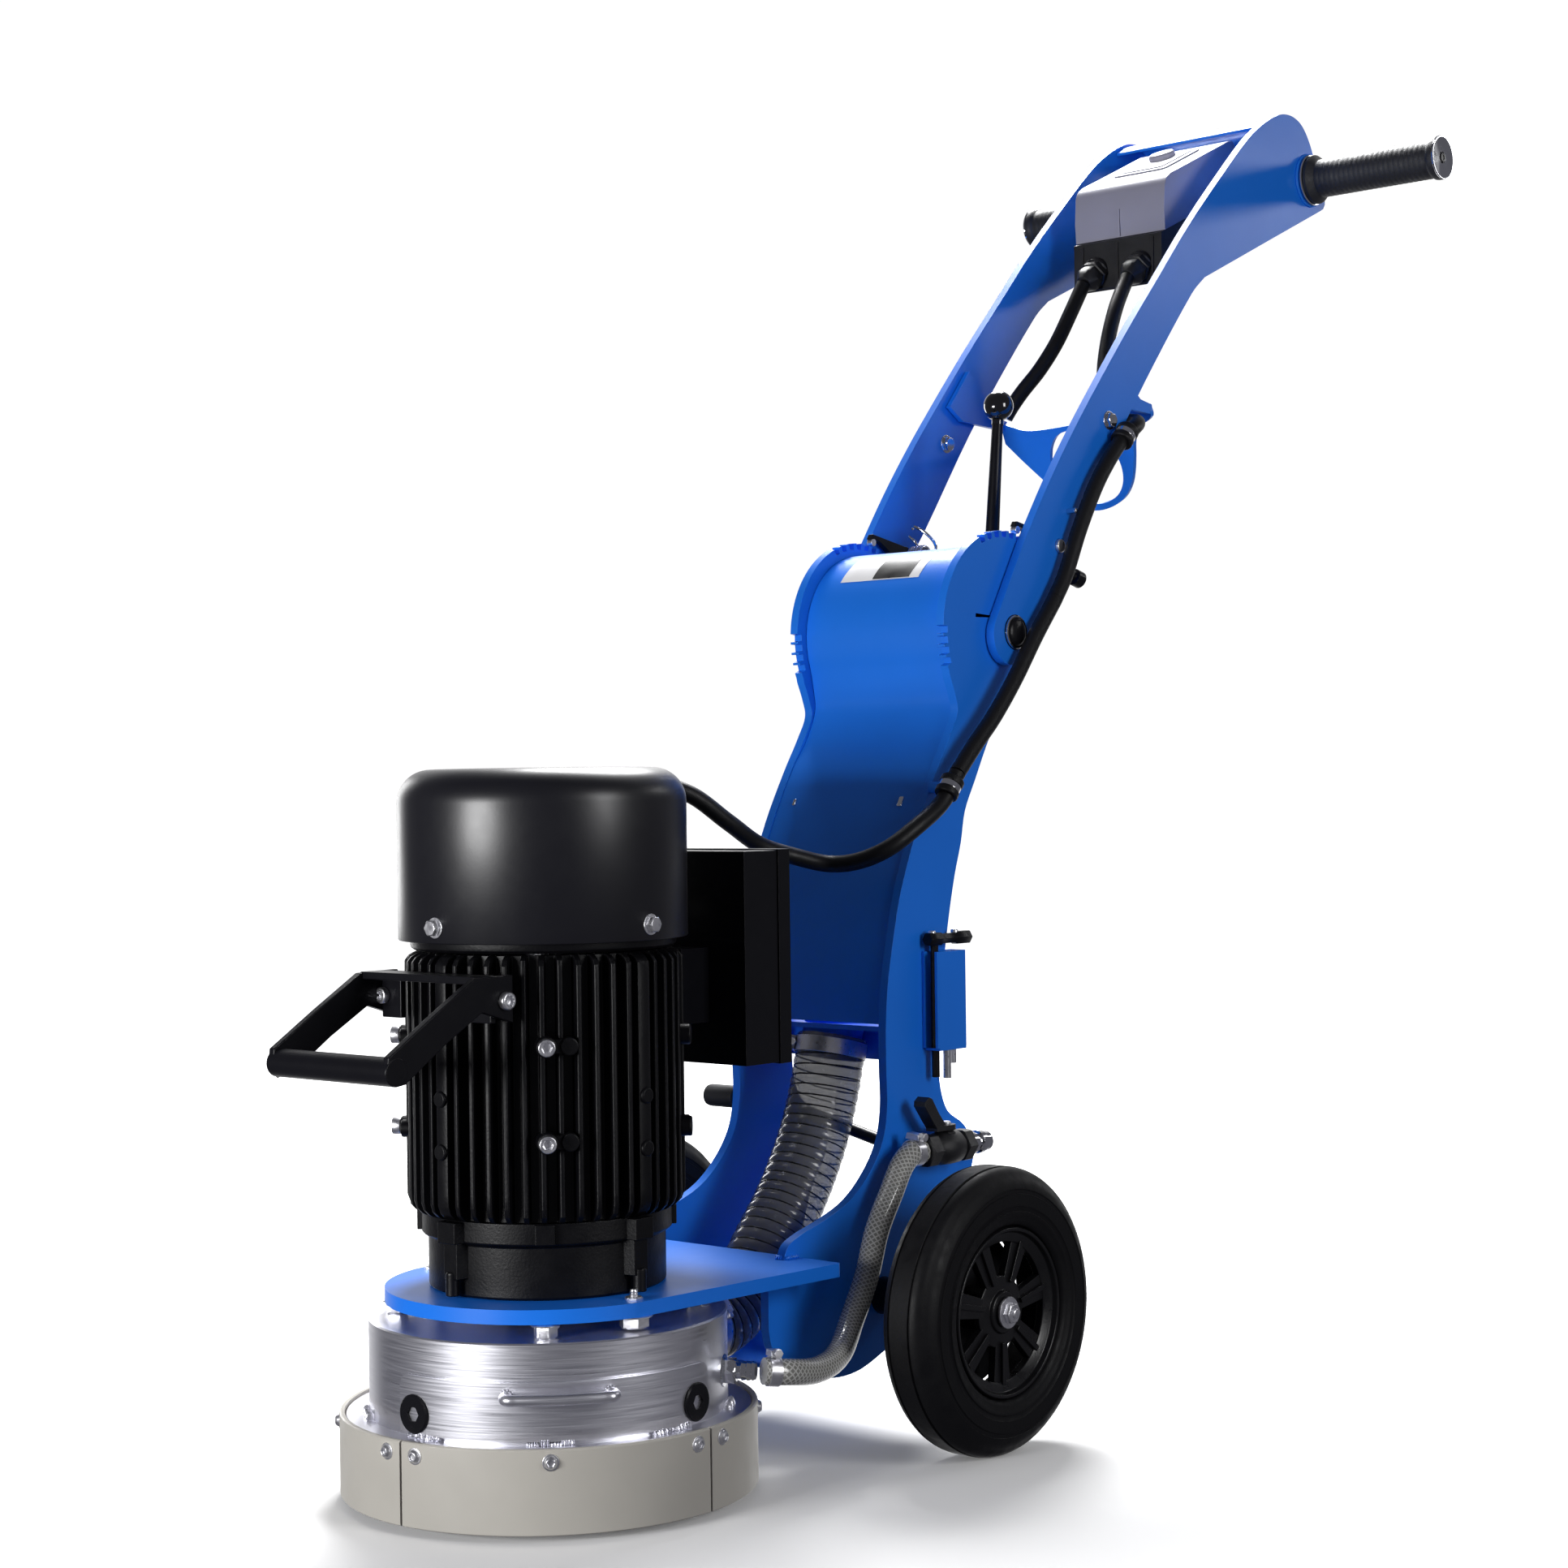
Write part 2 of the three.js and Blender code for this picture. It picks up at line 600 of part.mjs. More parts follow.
function grip(side) {
  const profile = [
    [BAR_R + GAP, GRIP_INNER], [24, GRIP_INNER], [24, GRIP_INNER + 5], [18.2, GRIP_INNER + 9],
    [18.2, GRIP_HALF - 9], [21, GRIP_HALF - 5], [21, GRIP_HALF], [0, GRIP_HALF],
    [0, GRIP_HALF - 4], [BAR_R + GAP, GRIP_HALF - 4],
  ].map(([r, x]) => [r, side * x]);
  return turnedX(profile, 16, GRIP.y, GRIP.z);
}

function handlebar() {
  const end = GRIP_HALF - 4 - GAP;
  return turnedX([[BAR_R - 3, -end], [BAR_R, -end], [BAR_R, end], [BAR_R - 3, end]], 16, GRIP.y, GRIP.z);
}

const BOX_HALF = 51;

function controlBase() {
  const outline = [[766, 992], [766, 1038.7], [897, 1097.2], [903, 1052]];
  const pocketLine = [[770, 1000], [770, 1060], [892, 1110], [898, 1056]];
  const pocket = plateX(pocketLine, -BOX_HALF + 5, BOX_HALF - 5);
  const glands = [-25, 25].map((x) => rod(vec(x, 770, 1012), vec(x, 748, 998), 10, 8));
  const bores = [-25, 25].map((x) => rod(vec(x, 776, 1016), vec(x, 744, 995.5), CABLE_R + GAP, 8));
  return cut(join(cut(plateX(outline, -BOX_HALF + 1, BOX_HALF - 1), pocket), ...glands), ...bores);
}

const BUTTON_Z = 1121;

function controlCover() {
  const outline = [[771, 1041.3], [771, 1088], [776, 1095], [888, 1146], [897, 1143], [897, 1097.6]];
  const pocketLine = [[775, 1030], [775, 1086], [779, 1091], [887, 1141], [893, 1139], [893, 1085]];
  const pocket = plateX(pocketLine, -BOX_HALF + 4, BOX_HALF - 4);
  const bores = [-20, 20].map((x) => rod(vec(x, 885, BUTTON_Z), vec(x, 900, BUTTON_Z), 9.5, 12));
  return cut(plateX(outline, -BOX_HALF, BOX_HALF), pocket, ...bores);
}

const pushButton = (x) => join(
  rod(vec(x, 890, BUTTON_Z), vec(x, 902, BUTTON_Z), 9, 12),
  rod(vec(x, 889, BUTTON_Z), vec(x, 891, BUTTON_Z), 7, 8),
);

// The latch turns in the arms; its two pawls lie in the planes of the notched plates.
function latch() {
  const { y, z } = LATCH_PIVOT;
  const shaft = rod(vec(-ARM_OUT - 3, y, z), vec(ARM_OUT + 3, y, z), 6, 8);
  const tip = toothAtRest;
  const pawlOutline = [
    ...arc(y, z, 11, -150, 95, 6), [tip.y - 1, tip.z + 7.3], [tip.y - 4, tip.z + 2.8],
    [tip.y + 4.9, tip.z + 2.3], [tip.y + 9.4, tip.z + 0.6], [tip.y + 17.4, tip.z - 4.1],
    [tip.y + 26.4, tip.z - 10.6],
  ];
  const pawls = [[-82.5, -77], [77, 82.5]].flatMap(([x0, x1]) => [
    plateX(pawlOutline, x0, x1),
    rod(vec(x0, toothAtRest.y, toothAtRest.z), vec(x1, toothAtRest.y, toothAtRest.z), TOOTH_R, 8),
  ]);
  const lever = rod(vec(20, y, z), vec(20, 546, 848), 6, 8, 5);
  const knob = sphere(vec(20, 547, 857), 13.5);
  return join(shaft, ...pawls, lever, knob);
}

function latchSpring() {
  const coil = [];
  const turns = 3;
  for (let i = 0; i <= turns * 6; i += 1) {
    const a = (i / 6) * 2 * Math.PI;
    coil.push([-70 + (i / 6) * 4, LATCH_PIVOT.y + 9.5 * Math.cos(a), LATCH_PIVOT.z + 9.5 * Math.sin(a)]);
  }
  const lead = [-71, LATCH_PIVOT.y + 12, LATCH_PIVOT.z - 22];
  const tail = [-55, LATCH_PIVOT.y + 6, LATCH_PIVOT.z + 30];
  return tube([lead, ...coil, tail], 1.3, 26, 5);
}

// ---------- cables, hoses and fittings ----------
const vacuumRoute = [
  [0, 156, 95], [0, 186, 98], [0, 216, 115], [0, 245, 148], [0, 277, 186], [0, 303, 228], [0, 320, 270],
  [0, 331, 312],
];
const waterRoute = [
  [139, 83.6, 92], [147, 98, 90], [142, 140, 84], [130, 180, 88], [114, 216, 108], [108, 242, 138],
  [107, 256, 170], [106, 276, 198], [104, 293, 218], [104, 305, 225.5], [104, 316.8, 226],
];
const supplyRoute = [
  [-25, 745, 996], [-29, 728, 966], [-36, 714, 937], [-47, 702, 912], [-59, 691, 892], [-67, 685, 878],
];
const handleRoute = [
  [25, 745, 996], [31, 716, 962], [36, 694, 924], [45, 676, 890], [62, 661, 861], [82, 656, 848],
  [97, 651, 844.5], [CABLE_X, 635, 837.5], [CABLE_X, 619, 828], [CABLE_X, 581, 790], [CABLE_X, 550, 744],
  [CABLE_X, 526, 700], [CABLE_X, 511, 680],
];
const bridgeRoute = [
  [CABLE_X, 509.6, 678.2], [CABLE_X, 482, 647], [CABLE_X, 451, 609], [CABLE_X, 421, 577],
  [CABLE_X, 394, 553], [CABLE_X, 372, 532],
];
const motorRoute = [
  [CABLE_X, 370.4, 530.4], [103, 352, 507], [99, 322, 487], [86, 301, 470], [60, 294, 460],
  [34, 289, 458], [18, 268, 464], [6, 238, 474], [4, 202, 493], [-6, 168, 516], [-22, 144, 525],
  [-36, 157, 518], [-40, 163, 501], [-40, 163, 485.6],
];

function cableClamp(y, z, plateFace, alongY, alongZ) {
  const ring = rod(
    vec(CABLE_X, y - alongY * 7, z - alongZ * 7), vec(CABLE_X, y + alongY * 7, z + alongZ * 7), 11.5, 10,
  );
  const foot = block(plateFace + GAP, CABLE_X - 8, y - 9, y + 9, z - 9, z + 9);
  return join(ring, foot);
}

function valveBody() {
  const x = 104;
  const z = 226;
  const body = rod(vec(x, 324, z), vec(x, 372, z), 11, 10);
  const nose = rod(vec(x, 370, z), vec(x, 404, z), 8.5, 8);
  const nipple = rod(vec(x, 318, z), vec(x, 326, z), 12.5, 10);
  const stem = rod(vec(x, 350, z), vec(x, 350, z + 14), 6, 8);
  const foot = block(PLATE_OUT + GAP, x, 336, 364, z - 8, z + 6);
  const bore = rod(vec(x, 390, z), vec(x, 410, z), 5.5, 8);
  return cut(join(body, nose, nipple, stem, foot), bore);
}

function valveLever() {
  const hub = plateZ([...arc(104, 350, 8, 0, 180, 6), [98, 330], [110, 330]], 240.4, 245);
  const wing = plateX([[334, 241], [342, 245], [324, 268], [315, 262]], 98, 110);
  return join(hub, wing);
}

function toolHolder() {
  const shell = block(PLATE_OUT + GAP, 100, 346, 384, 306, 385);
  const slot = block(88, 96, 348, 358, 300, 390);
  return cut(shell, slot);
}

function hexKey() {
  const shaft = rod(vec(92, 353, 282), vec(92, 353, 396), 3.4, 6);
  const handle = rod(vec(92, 344, 395), vec(92, 398, 395), 6, 8);
  return join(shaft, handle);
}

// ---------- assembly ----------
place('base_plate', basePlate(), BLUE);
place('guard_drum', guardDrum(), ALU);
place('guard_door', guardDoor(), ALU);
for (let i = 0; i < SKIRT_PIECES; i += 1) {
  const from = SKIRT_SEAM_DEG + (360 / SKIRT_PIECES) * i + 0.3;
  const to = from + 360 / SKIRT_PIECES - 0.6;
  place(`skirt_${i + 1}`, ringSector(FLANGE_R + 1, SKIRT_R, from, to, SKIRT_LOW, SKIRT_TOP, 9), BEIGE);
}

place('motor_shaft', turnedZ([[0, 30], [SHAFT_R, 30], [SHAFT_R, 472], [0, 472]], 20), STEEL);
place('drive_hub', driveHub(), CAST);
place('grinding_disc', turnedZ([[SHAFT_R + GAP, 27.3], [124, 27.3], [124, 35], [58, 38], [50, 111.7],
  [SHAFT_R + GAP, 111.7]], 28), CAST);
for (let i = 0; i < 3; i += 1) {
  place(`diamond_shoe_${i + 1}`, diamondShoe(i * 120), STEEL);
}
place('rotor_core', turnedZ([[SHAFT_R + GAP, CORE_LOW], [51.5, CORE_LOW], [51.5, CORE_HIGH],
  [SHAFT_R + GAP, CORE_HIGH]], 20), STEEL);
place('cooling_fan', coolingFan(), DARK);

place('motor_housing', motorHousing(), BLACK);
place('motor_flange', motorFlange(), BLACK);
place('end_shield', turnedZ([[BEARING_R + GAP, FIN_HIGH + GAP], [SHIELD_R, FIN_HIGH + GAP],
  [SHIELD_R, SHIELD_TOP], [BEARING_R + GAP, SHIELD_TOP]], 28), BLACK);
place('stator_core', turnedZ([[52.2, CORE_LOW], [HOUSING_BORE_R - 0.7, CORE_LOW],
  [HOUSING_BORE_R - 0.7, CORE_HIGH], [52.2, CORE_HIGH]], 20), COPPER);
place('bearing_bottom', turnedZ([[SHAFT_R + GAP, 163], [BEARING_R, 163], [BEARING_R, 181],
  [SHAFT_R + GAP, 181]], 20), STEEL);
place('bearing_top', turnedZ([[SHAFT_R + GAP, 405], [BEARING_R, 405], [BEARING_R, 415],
  [SHAFT_R + GAP, 415]], 20), STEEL);
place('fan_cover', fanCover(), BLACK);
place('terminal_box', terminalBox(), BLACK);
place('front_handle', frontHandle(), BLACK);

place('side_plate_right', sidePlate(PLATE_IN, PLATE_OUT), BLUE);
place('side_plate_left', leftPlateWithPan(), BLUE);
place('column_sheet', columnSheet(), BLUE);
place('dust_port', dustPort(), BLUE);
place('pivot_shaft', turnedX([[0, -97.4], [14, -97.4], [14, -93.6], [PIVOT_SHAFT_R, -93.6],
  [PIVOT_SHAFT_R, 93.6], [14, 93.6], [14, 97.4], [0, 97.4]], 14, PIVOT.y, PIVOT.z), DARK);
place('storage_peg', rod(vec(-PLATE_OUT - GAP, 306, 259), vec(-118, 306, 259), 9.5, 12), DARK);
place('tool_holder', toolHolder(), BLUE);
place('axle', axleBar(), STEEL);
for (const [name, side] of [['right', 1], ['left', -1]]) {
  place(`tyre_${name}`, tyre(side), RUBBER);
  place(`rim_${name}`, rim(side), DARK);
}

place('vacuum_hose', tube(vacuumRoute, HOSE_R, 10, 12, PORT_R + 2), CLEAR);
place('water_hose', tube(waterRoute, 10, 16, 8), CLEAR);
place('valve_body', valveBody(), STEEL);
place('valve_lever', valveLever(), DARK);
place('motor_cable', tube(motorRoute, CABLE_R, 24), RUBBER);
place('bridge_cable', tube(bridgeRoute, CABLE_R, 8), RUBBER);
place('column_clamp', cut(cableClamp(361, 519, PLATE_OUT, 0.6, 0.8), tube(motorRoute, CABLE_R + GAP, 24)), DARK);

place('arm_right', arm(ARM_IN, ARM_OUT), BLUE);
place('arm_left', arm(-ARM_OUT, -ARM_IN), BLUE);
place('cross_plate', crossPlate(), BLUE);
place('hanger_plate', hangerPlate(), BLUE);
place('handlebar', handlebar(), STEEL);
place('grip_right', grip(1), DARK);
place('grip_left', grip(-1), DARK);
place('control_base', controlBase(), DARK);
place('control_cover', controlCover(), PALE);
place('start_button', pushButton(-20), GREEN);
place('stop_button', pushButton(20), RED);
place('supply_lead', tube(supplyRoute, CABLE_R, 8), RUBBER);
place('handle_cable', tube(handleRoute, CABLE_R, 24), RUBBER);
place('arm_clamp', cut(cableClamp(619, 828, ARM_OUT, 0.68, 0.73), tube(handleRoute, CABLE_R + GAP, 24)), DARK);
place('latch', latch(), BLACK);
place('latch_spring', latchSpring(), STEEL);
place('hex_key', hexKey(), BLACK);

export default machine;
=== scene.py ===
"""Looks of the walk-behind floor grinder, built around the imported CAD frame.

Sizes are in millimetres from the spindle axis at floor level, with +Y towards the handle,
and at() turns them into the frame's metres.
"""
import json
import math

import bmesh
import bpy
from mathutils import Matrix, Vector
from mathutils.geometry import tessellate_polygon


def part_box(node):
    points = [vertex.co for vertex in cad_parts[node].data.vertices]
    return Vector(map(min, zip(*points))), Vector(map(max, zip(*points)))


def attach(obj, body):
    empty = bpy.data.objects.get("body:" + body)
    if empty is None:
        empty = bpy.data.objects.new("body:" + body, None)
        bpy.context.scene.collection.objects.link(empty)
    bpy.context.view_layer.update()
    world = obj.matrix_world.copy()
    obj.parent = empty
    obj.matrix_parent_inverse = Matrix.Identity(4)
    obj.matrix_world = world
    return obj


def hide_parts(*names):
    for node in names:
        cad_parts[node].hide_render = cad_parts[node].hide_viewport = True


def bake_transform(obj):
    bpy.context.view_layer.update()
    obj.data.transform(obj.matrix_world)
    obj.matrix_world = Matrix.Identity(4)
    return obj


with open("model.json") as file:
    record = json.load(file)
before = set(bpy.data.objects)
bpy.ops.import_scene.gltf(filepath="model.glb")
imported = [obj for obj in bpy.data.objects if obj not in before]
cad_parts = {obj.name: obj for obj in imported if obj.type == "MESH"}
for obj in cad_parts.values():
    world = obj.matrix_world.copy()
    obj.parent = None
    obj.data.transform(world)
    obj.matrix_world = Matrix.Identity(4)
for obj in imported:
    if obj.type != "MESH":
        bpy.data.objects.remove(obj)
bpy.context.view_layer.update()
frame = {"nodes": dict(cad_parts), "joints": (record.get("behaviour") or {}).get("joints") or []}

MM = 0.001
shaft_low, shaft_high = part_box("motor_shaft")
SPINDLE = Vector(((shaft_low.x + shaft_high.x) / 2, (shaft_low.y + shaft_high.y) / 2, 0))
JOINTS = {joint["name"]: joint for joint in frame["joints"]}
X, Y, Z = Vector((1, 0, 0)), Vector((0, 1, 0)), Vector((0, 0, 1))


def at(x, y, z):
    return Vector((x, y, z)) * MM + SPINDLE


def in_mm(point):
    return (Vector(point) - SPINDLE) / MM


def box_mm(node):
    low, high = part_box(node)
    return in_mm(low), in_mm(high)


def around(r, deg, z):
    """A point about the spindle, counted from the front towards +X."""
    a = math.radians(deg)
    return Vector((r * math.sin(a), -r * math.cos(a), z))


# ---------------------------------------------------------------- places from the frame
PIVOT = in_mm(JOINTS["handle_fold"]["pos_m"])
LATCH = in_mm(JOINTS["latch_swing"]["pos_m"])
AXLE = in_mm(JOINTS["wheel_right_spin"]["pos_m"])
WHEEL_X = AXLE.x
WHEEL_R = (box_mm("tyre_right")[1].z - box_mm("tyre_right")[0].z) / 2
RIM_R = (box_mm("rim_right")[1].z - box_mm("rim_right")[0].z) / 2
WHEEL_HALF = (box_mm("tyre_right")[1].x - box_mm("tyre_right")[0].x) / 2
SKIRT_R = box_mm("skirt_1")[1].x
SKIRT_LOW, SKIRT_TOP = box_mm("skirt_1")[0].z, box_mm("skirt_1")[1].z
FLANGE_R = box_mm("guard_drum")[1].x
DRUM_R = 132.8
DRUM_TOP = 134.7
DOOR_DEG = 49
DOOR_HALF = 54
DOOR_LOW, DOOR_HIGH = box_mm("guard_door")[0].z, box_mm("guard_door")[1].z
BASE_LOW, BASE_TOP = box_mm("base_plate")[0].z, box_mm("base_plate")[1].z
BASE_BACK_Y, BASE_BACK_HALF = box_mm("base_plate")[1].y, box_mm("base_plate")[1].x
BASE_FRONT_R = -box_mm("base_plate")[0].y
FIN_LOW, FIN_HIGH = box_mm("motor_housing")[0].z, box_mm("motor_housing")[1].z
COVER_LOW, COVER_TOP = box_mm("fan_cover")[0].z, box_mm("fan_cover")[1].z
COVER_R = box_mm("fan_cover")[1].x
PLATE_IN, PLATE_OUT = box_mm("side_plate_right")[0].x, box_mm("side_plate_right")[1].x
ARM_IN, ARM_OUT = box_mm("arm_right")[0].x, box_mm("arm_right")[1].x
GRIP_END = box_mm("grip_right")[1].x
GRIP_IN = box_mm("grip_right")[0].x
GRIP = (box_mm("handlebar")[0] + box_mm("handlebar")[1]) / 2
CABLE_R = 7


# ---------------------------------------------------------------- mesh building
class Piece:
    """Collects geometry in millimetres and ends as one object that rides on a body."""

    def __init__(self, name, *materials):
        self.name = name
        self.materials = materials
        self.bm = bmesh.new()
        self.uv = self.bm.loops.layers.uv.new("UVMap")
        self.index = 0

    def paint(self, index):
        self.index = index
        return self

    def face(self, verts, uvs=None):
        unique = []
        for vert in verts:
            if not unique or vert is not unique[-1]:
                unique.append(vert)
        if unique[0] is unique[-1]:
            unique.pop()
        if len(unique) < 3:
            return None
        try:
            made = self.bm.faces.new(unique)
        except ValueError:
            return None
        made.material_index = self.index
        made.smooth = True
        if uvs and len(uvs) == len(made.loops):
            for loop, uv in zip(made.loops, uvs):
                loop[self.uv].uv = uv
        return made

    def verts(self, points):
        return [self.bm.verts.new(at(*p)) for p in points]

    def loft(self, loops, caps=True):
        """Skins equal closed rings of points, with or without end caps."""
        rings = [self.verts(loop) for loop in loops]
        count = len(rings[0])
        for i in range(len(rings) - 1):
            for j in range(count):
                k = (j + 1) % count
                u0, u1 = j / count, (j + 1) / count
                quad = [rings[i][j], rings[i][k], rings[i + 1][k], rings[i + 1][j]]
                self.face(quad, [(u0, i), (u1, i), (u1, i + 1), (u0, i + 1)])
        if caps:
            self.face(list(reversed(rings[0])))
            self.face(rings[-1])
        return self

    def lathe(self, profile, centre=(0, 0, 0), axis=Z, steps=96, closed=True, span=(0, 360)):
        """Turns a profile of (radius, height) about an axis through centre."""
        u, v = frame_of(axis)
        origin = Vector(centre)
        full = abs(span[1] - span[0]) >= 360
        count = steps if full else steps + 1
        loops = []
        for i in range(count):
            a = math.radians(span[0] + (span[1] - span[0]) * i / steps)
            out = u * math.cos(a) + v * math.sin(a)
            loops.append([origin + out * r + axis * h for r, h in profile])
        rings = [self.verts(loop) for loop in loops]
        if full:
            rings.append(rings[0])
        size = len(profile)
        for i in range(len(rings) - 1):
            for j in range(size if closed else size - 1):
                k = (j + 1) % size
                self.face([rings[i][j], rings[i + 1][j], rings[i + 1][k], rings[i][k]])
        if not full and closed:
            self.face(list(reversed(rings[0])))
            self.face(rings[-1])
        return self

    def tube(self, points, r, sides=20, caps=True, radii=None):
        """A round tube along points, with UVs in turns round and millimetres along."""
        rows = frames_along(points)
        travelled = 0
        rings = []
        lengths = []
        for i, (point, normal, side) in enumerate(rows):
            if i:
                travelled += (point - rows[i - 1][0]).length
            lengths.append(travelled)
            size = radii[i] if radii else r
            ring = []
            for j in range(sides):
                a = 2 * math.pi * j / sides
                ring.append(point + (normal * math.cos(a) + side * math.sin(a)) * size)
            rings.append(self.verts(ring))
        for i in range(len(rings) - 1):
            for j in range(sides):
                k = (j + 1) % sides
                u0, u1 = j / sides, (j + 1) / sides
                quad = [rings[i][j], rings[i][k], rings[i + 1][k], rings[i + 1][j]]
                v0, v1 = lengths[i], lengths[i + 1]
                self.face(quad, [(u0, v0), (u1, v0), (u1, v1), (u0, v1)])
        if caps:
            self.face(list(reversed(rings[0])))
            self.face(rings[-1])
        return self

    def plate(self, outline, low, high, plane="YZ", holes=(), origin=(0, 0, 0), axes=None):
        """A flat plate: an outline with holes, between two depths across its plane."""
        if axes is None:
            axes = {"YZ": (Y, Z, X), "XY": (X, Y, Z), "XZ": (X, Z, -Y)}[plane]
        u, v, w = axes
        start = Vector(origin)
        loops = [list(outline), *[list(hole) for hole in holes]]
        flat = [[Vector((a, b, 0)) for a, b in loop] for loop in loops]
        triangles = tessellate_polygon(flat)
        ends = []
        for depth in (low, high):
            ring = [self.verts([start + u * p.x + v * p.y + w * depth for p in loop]) for loop in flat]
            ends.append(ring)
        for side in range(2):
            every = [vert for ring in ends[side] for vert in ring]
            if len(loops) == 1:
                self.face(every if side else list(reversed(every)))
            else:
                for a, b, c in triangles:
                    self.face([every[a], every[b], every[c]])
        for bottom, top in zip(ends[0], ends[1]):
            count = len(bottom)
            for j in range(count):
                k = (j + 1) % count
                self.face([bottom[j], bottom[k], top[k], top[j]])
        return self

    def block(self, low, high):
        (x0, y0, z0), (x1, y1, z1) = low, high
        return self.plate([(x0, y0), (x1, y0), (x1, y1), (x0, y1)], z0, z1, "XY")

    def done(self, body, replaces=(), bevel=0, angle=32, segments=2):
        """Makes the object, softens its edges, hands it to its body and hides the frame parts it replaces."""
        bmesh.ops.remove_doubles(self.bm, verts=self.bm.verts, dist=1e-6)
        loose = [v for v in self.bm.verts if not v.link_faces]
        bmesh.ops.delete(self.bm, geom=loose, context="VERTS")
        bmesh.ops.recalc_face_normals(self.bm, faces=self.bm.faces)
        mesh = bpy.data.meshes.new(self.name)
        self.bm.to_mesh(mesh)
        self.bm.free()
        for made in self.materials:
            mesh.materials.append(made)
        mesh.set_sharp_from_angle(angle=math.radians(angle))
        obj = bpy.data.objects.new(self.name, mesh)
        bpy.context.scene.collection.objects.link(obj)
        if bevel:
            soft = obj.modifiers.new("edges", "BEVEL")
            soft.width = bevel * MM
            soft.segments = segments
            soft.limit_method = "ANGLE"
            soft.angle_limit = math.radians(angle)
            soft.harden_normals = True
            soft.miter_outer = "MITER_ARC"
        if body:
            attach(obj, body)
        if replaces:
            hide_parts(*replaces)
        return obj


def frame_of(axis):
    """Two unit vectors across an axis."""
    helper = Z if abs(axis.normalized().dot(Z)) < 0.9 else X
    u = axis.cross(helper).normalized()
    return u, axis.cross(u).normalized()


def frames_along(points):
    """Each point with two vectors across the path that don't twist along it."""
    points = [Vector(p) for p in points]
    rows = []
    normal = None
    for i, point in enumerate(points):
        ahead = points[min(i + 1, len(points) - 1)] - points[max(i - 1, 0)]
        ahead.normalize()
        if normal is None:
            normal, _ = frame_of(ahead)
        normal = (normal - ahead * normal.dot(ahead)).normalized()
        rows.append((point, normal, ahead.cross(normal).normalized()))
    return rows


def smooth_line(points, per_span=8):
    """A centripetal Catmull-Rom curve through the points, in 2D or 3D."""
    pts = [Vector(p) for p in points]
    pts = [pts[0] * 2 - pts[1], *pts, pts[-1] * 2 - pts[-2]]
    out = []
    for i in range(1, len(pts) - 2):
        p0, p1, p2, p3 = pts[i - 1:i + 3]
        t1 = (p1 - p0).length ** 0.5
        t2 = t1 + (p2 - p1).length ** 0.5
        t3 = t2 + (p3 - p2).length ** 0.5
        for step in range(per_span):
            t = t1 + (t2 - t1) * step / per_span
            a1 = p0 * ((t1 - t) / t1) + p1 * (t / t1)
            a2 = p1 * ((t2 - t) / (t2 - t1)) + p2 * ((t - t1) / (t2 - t1))
            a3 = p2 * ((t3 - t) / (t3 - t2)) + p3 * ((t - t2) / (t3 - t2))
            b1 = a1 * ((t2 - t) / t2) + a2 * (t / t2)
            b2 = a2 * ((t3 - t) / (t3 - t1)) + a3 * ((t - t1) / (t3 - t1))
            out.append(b1 * ((t2 - t) / (t2 - t1)) + b2 * ((t - t1) / (t2 - t1)))
    out.append(pts[-2])
    return out


def arc(cu, cv, r, start, end, steps):
    out = []
    for i in range(steps + 1):
        a = math.radians(start + (end - start) * i / steps)
        out.append((cu + r * math.cos(a), cv + r * math.sin(a)))
    return out


def circle(cu, cv, r, steps=32):
    return arc(cu, cv, r, 0, 360, steps)[:-1]


def round_rect(half_u, half_v, r, steps=5):
    out = []
    for su, sv, start in ((1, 1, 0), (-1, 1, 90), (-1, -1, 180), (1, -1, 270)):
        out += arc(su * (half_u - r), sv * (half_v - r), r, start, start + 90, steps)
    return out


def pairs(points):
    return [(p[0], p[1]) for p in points]


def ring_points(centre, axis, r, height, count=24, shape="round"):
    """A ring of points round an axis, on a circle or on a hexagon with that inner radius."""
    u, v = frame_of(axis)
    out = []
    for i in range(count):
        a = 2 * math.pi * i / count
        size = r
        if shape == "hex":
            size = r / math.cos((a % (math.pi / 3)) - math.pi / 6)
        out.append(Vector(centre) + axis * height + (u * math.cos(a) + v * math.sin(a)) * size)
    return out


def stack(centre, axis, profile, count=24):
    """Rings up an axis, one for each (radius, height) or (radius, height, shape)."""
    return [ring_points(centre, axis, r, h, count, *shape) for r, h, *shape in profile]


def outward(deg):
    """The unit vector away from the spindle at an angle from the front."""
    return around(1, deg, 0).normalized()


def socket_head(piece, centre, axis, r, height, recess=0.45, dome=0.25):
    """A round screw head with a hexagon socket."""
    axis = axis.normalized()
    hexagon = r * recess
    deep = height * 0.45
    piece.loft(stack(centre, axis, [
        (r, 0), (r, height * (1 - dome)), (r * (1 - dome * 0.5), height),
        (hexagon, height, "hex"), (hexagon, deep, "hex"), (hexagon * 0.2, deep * 0.9),
    ]))


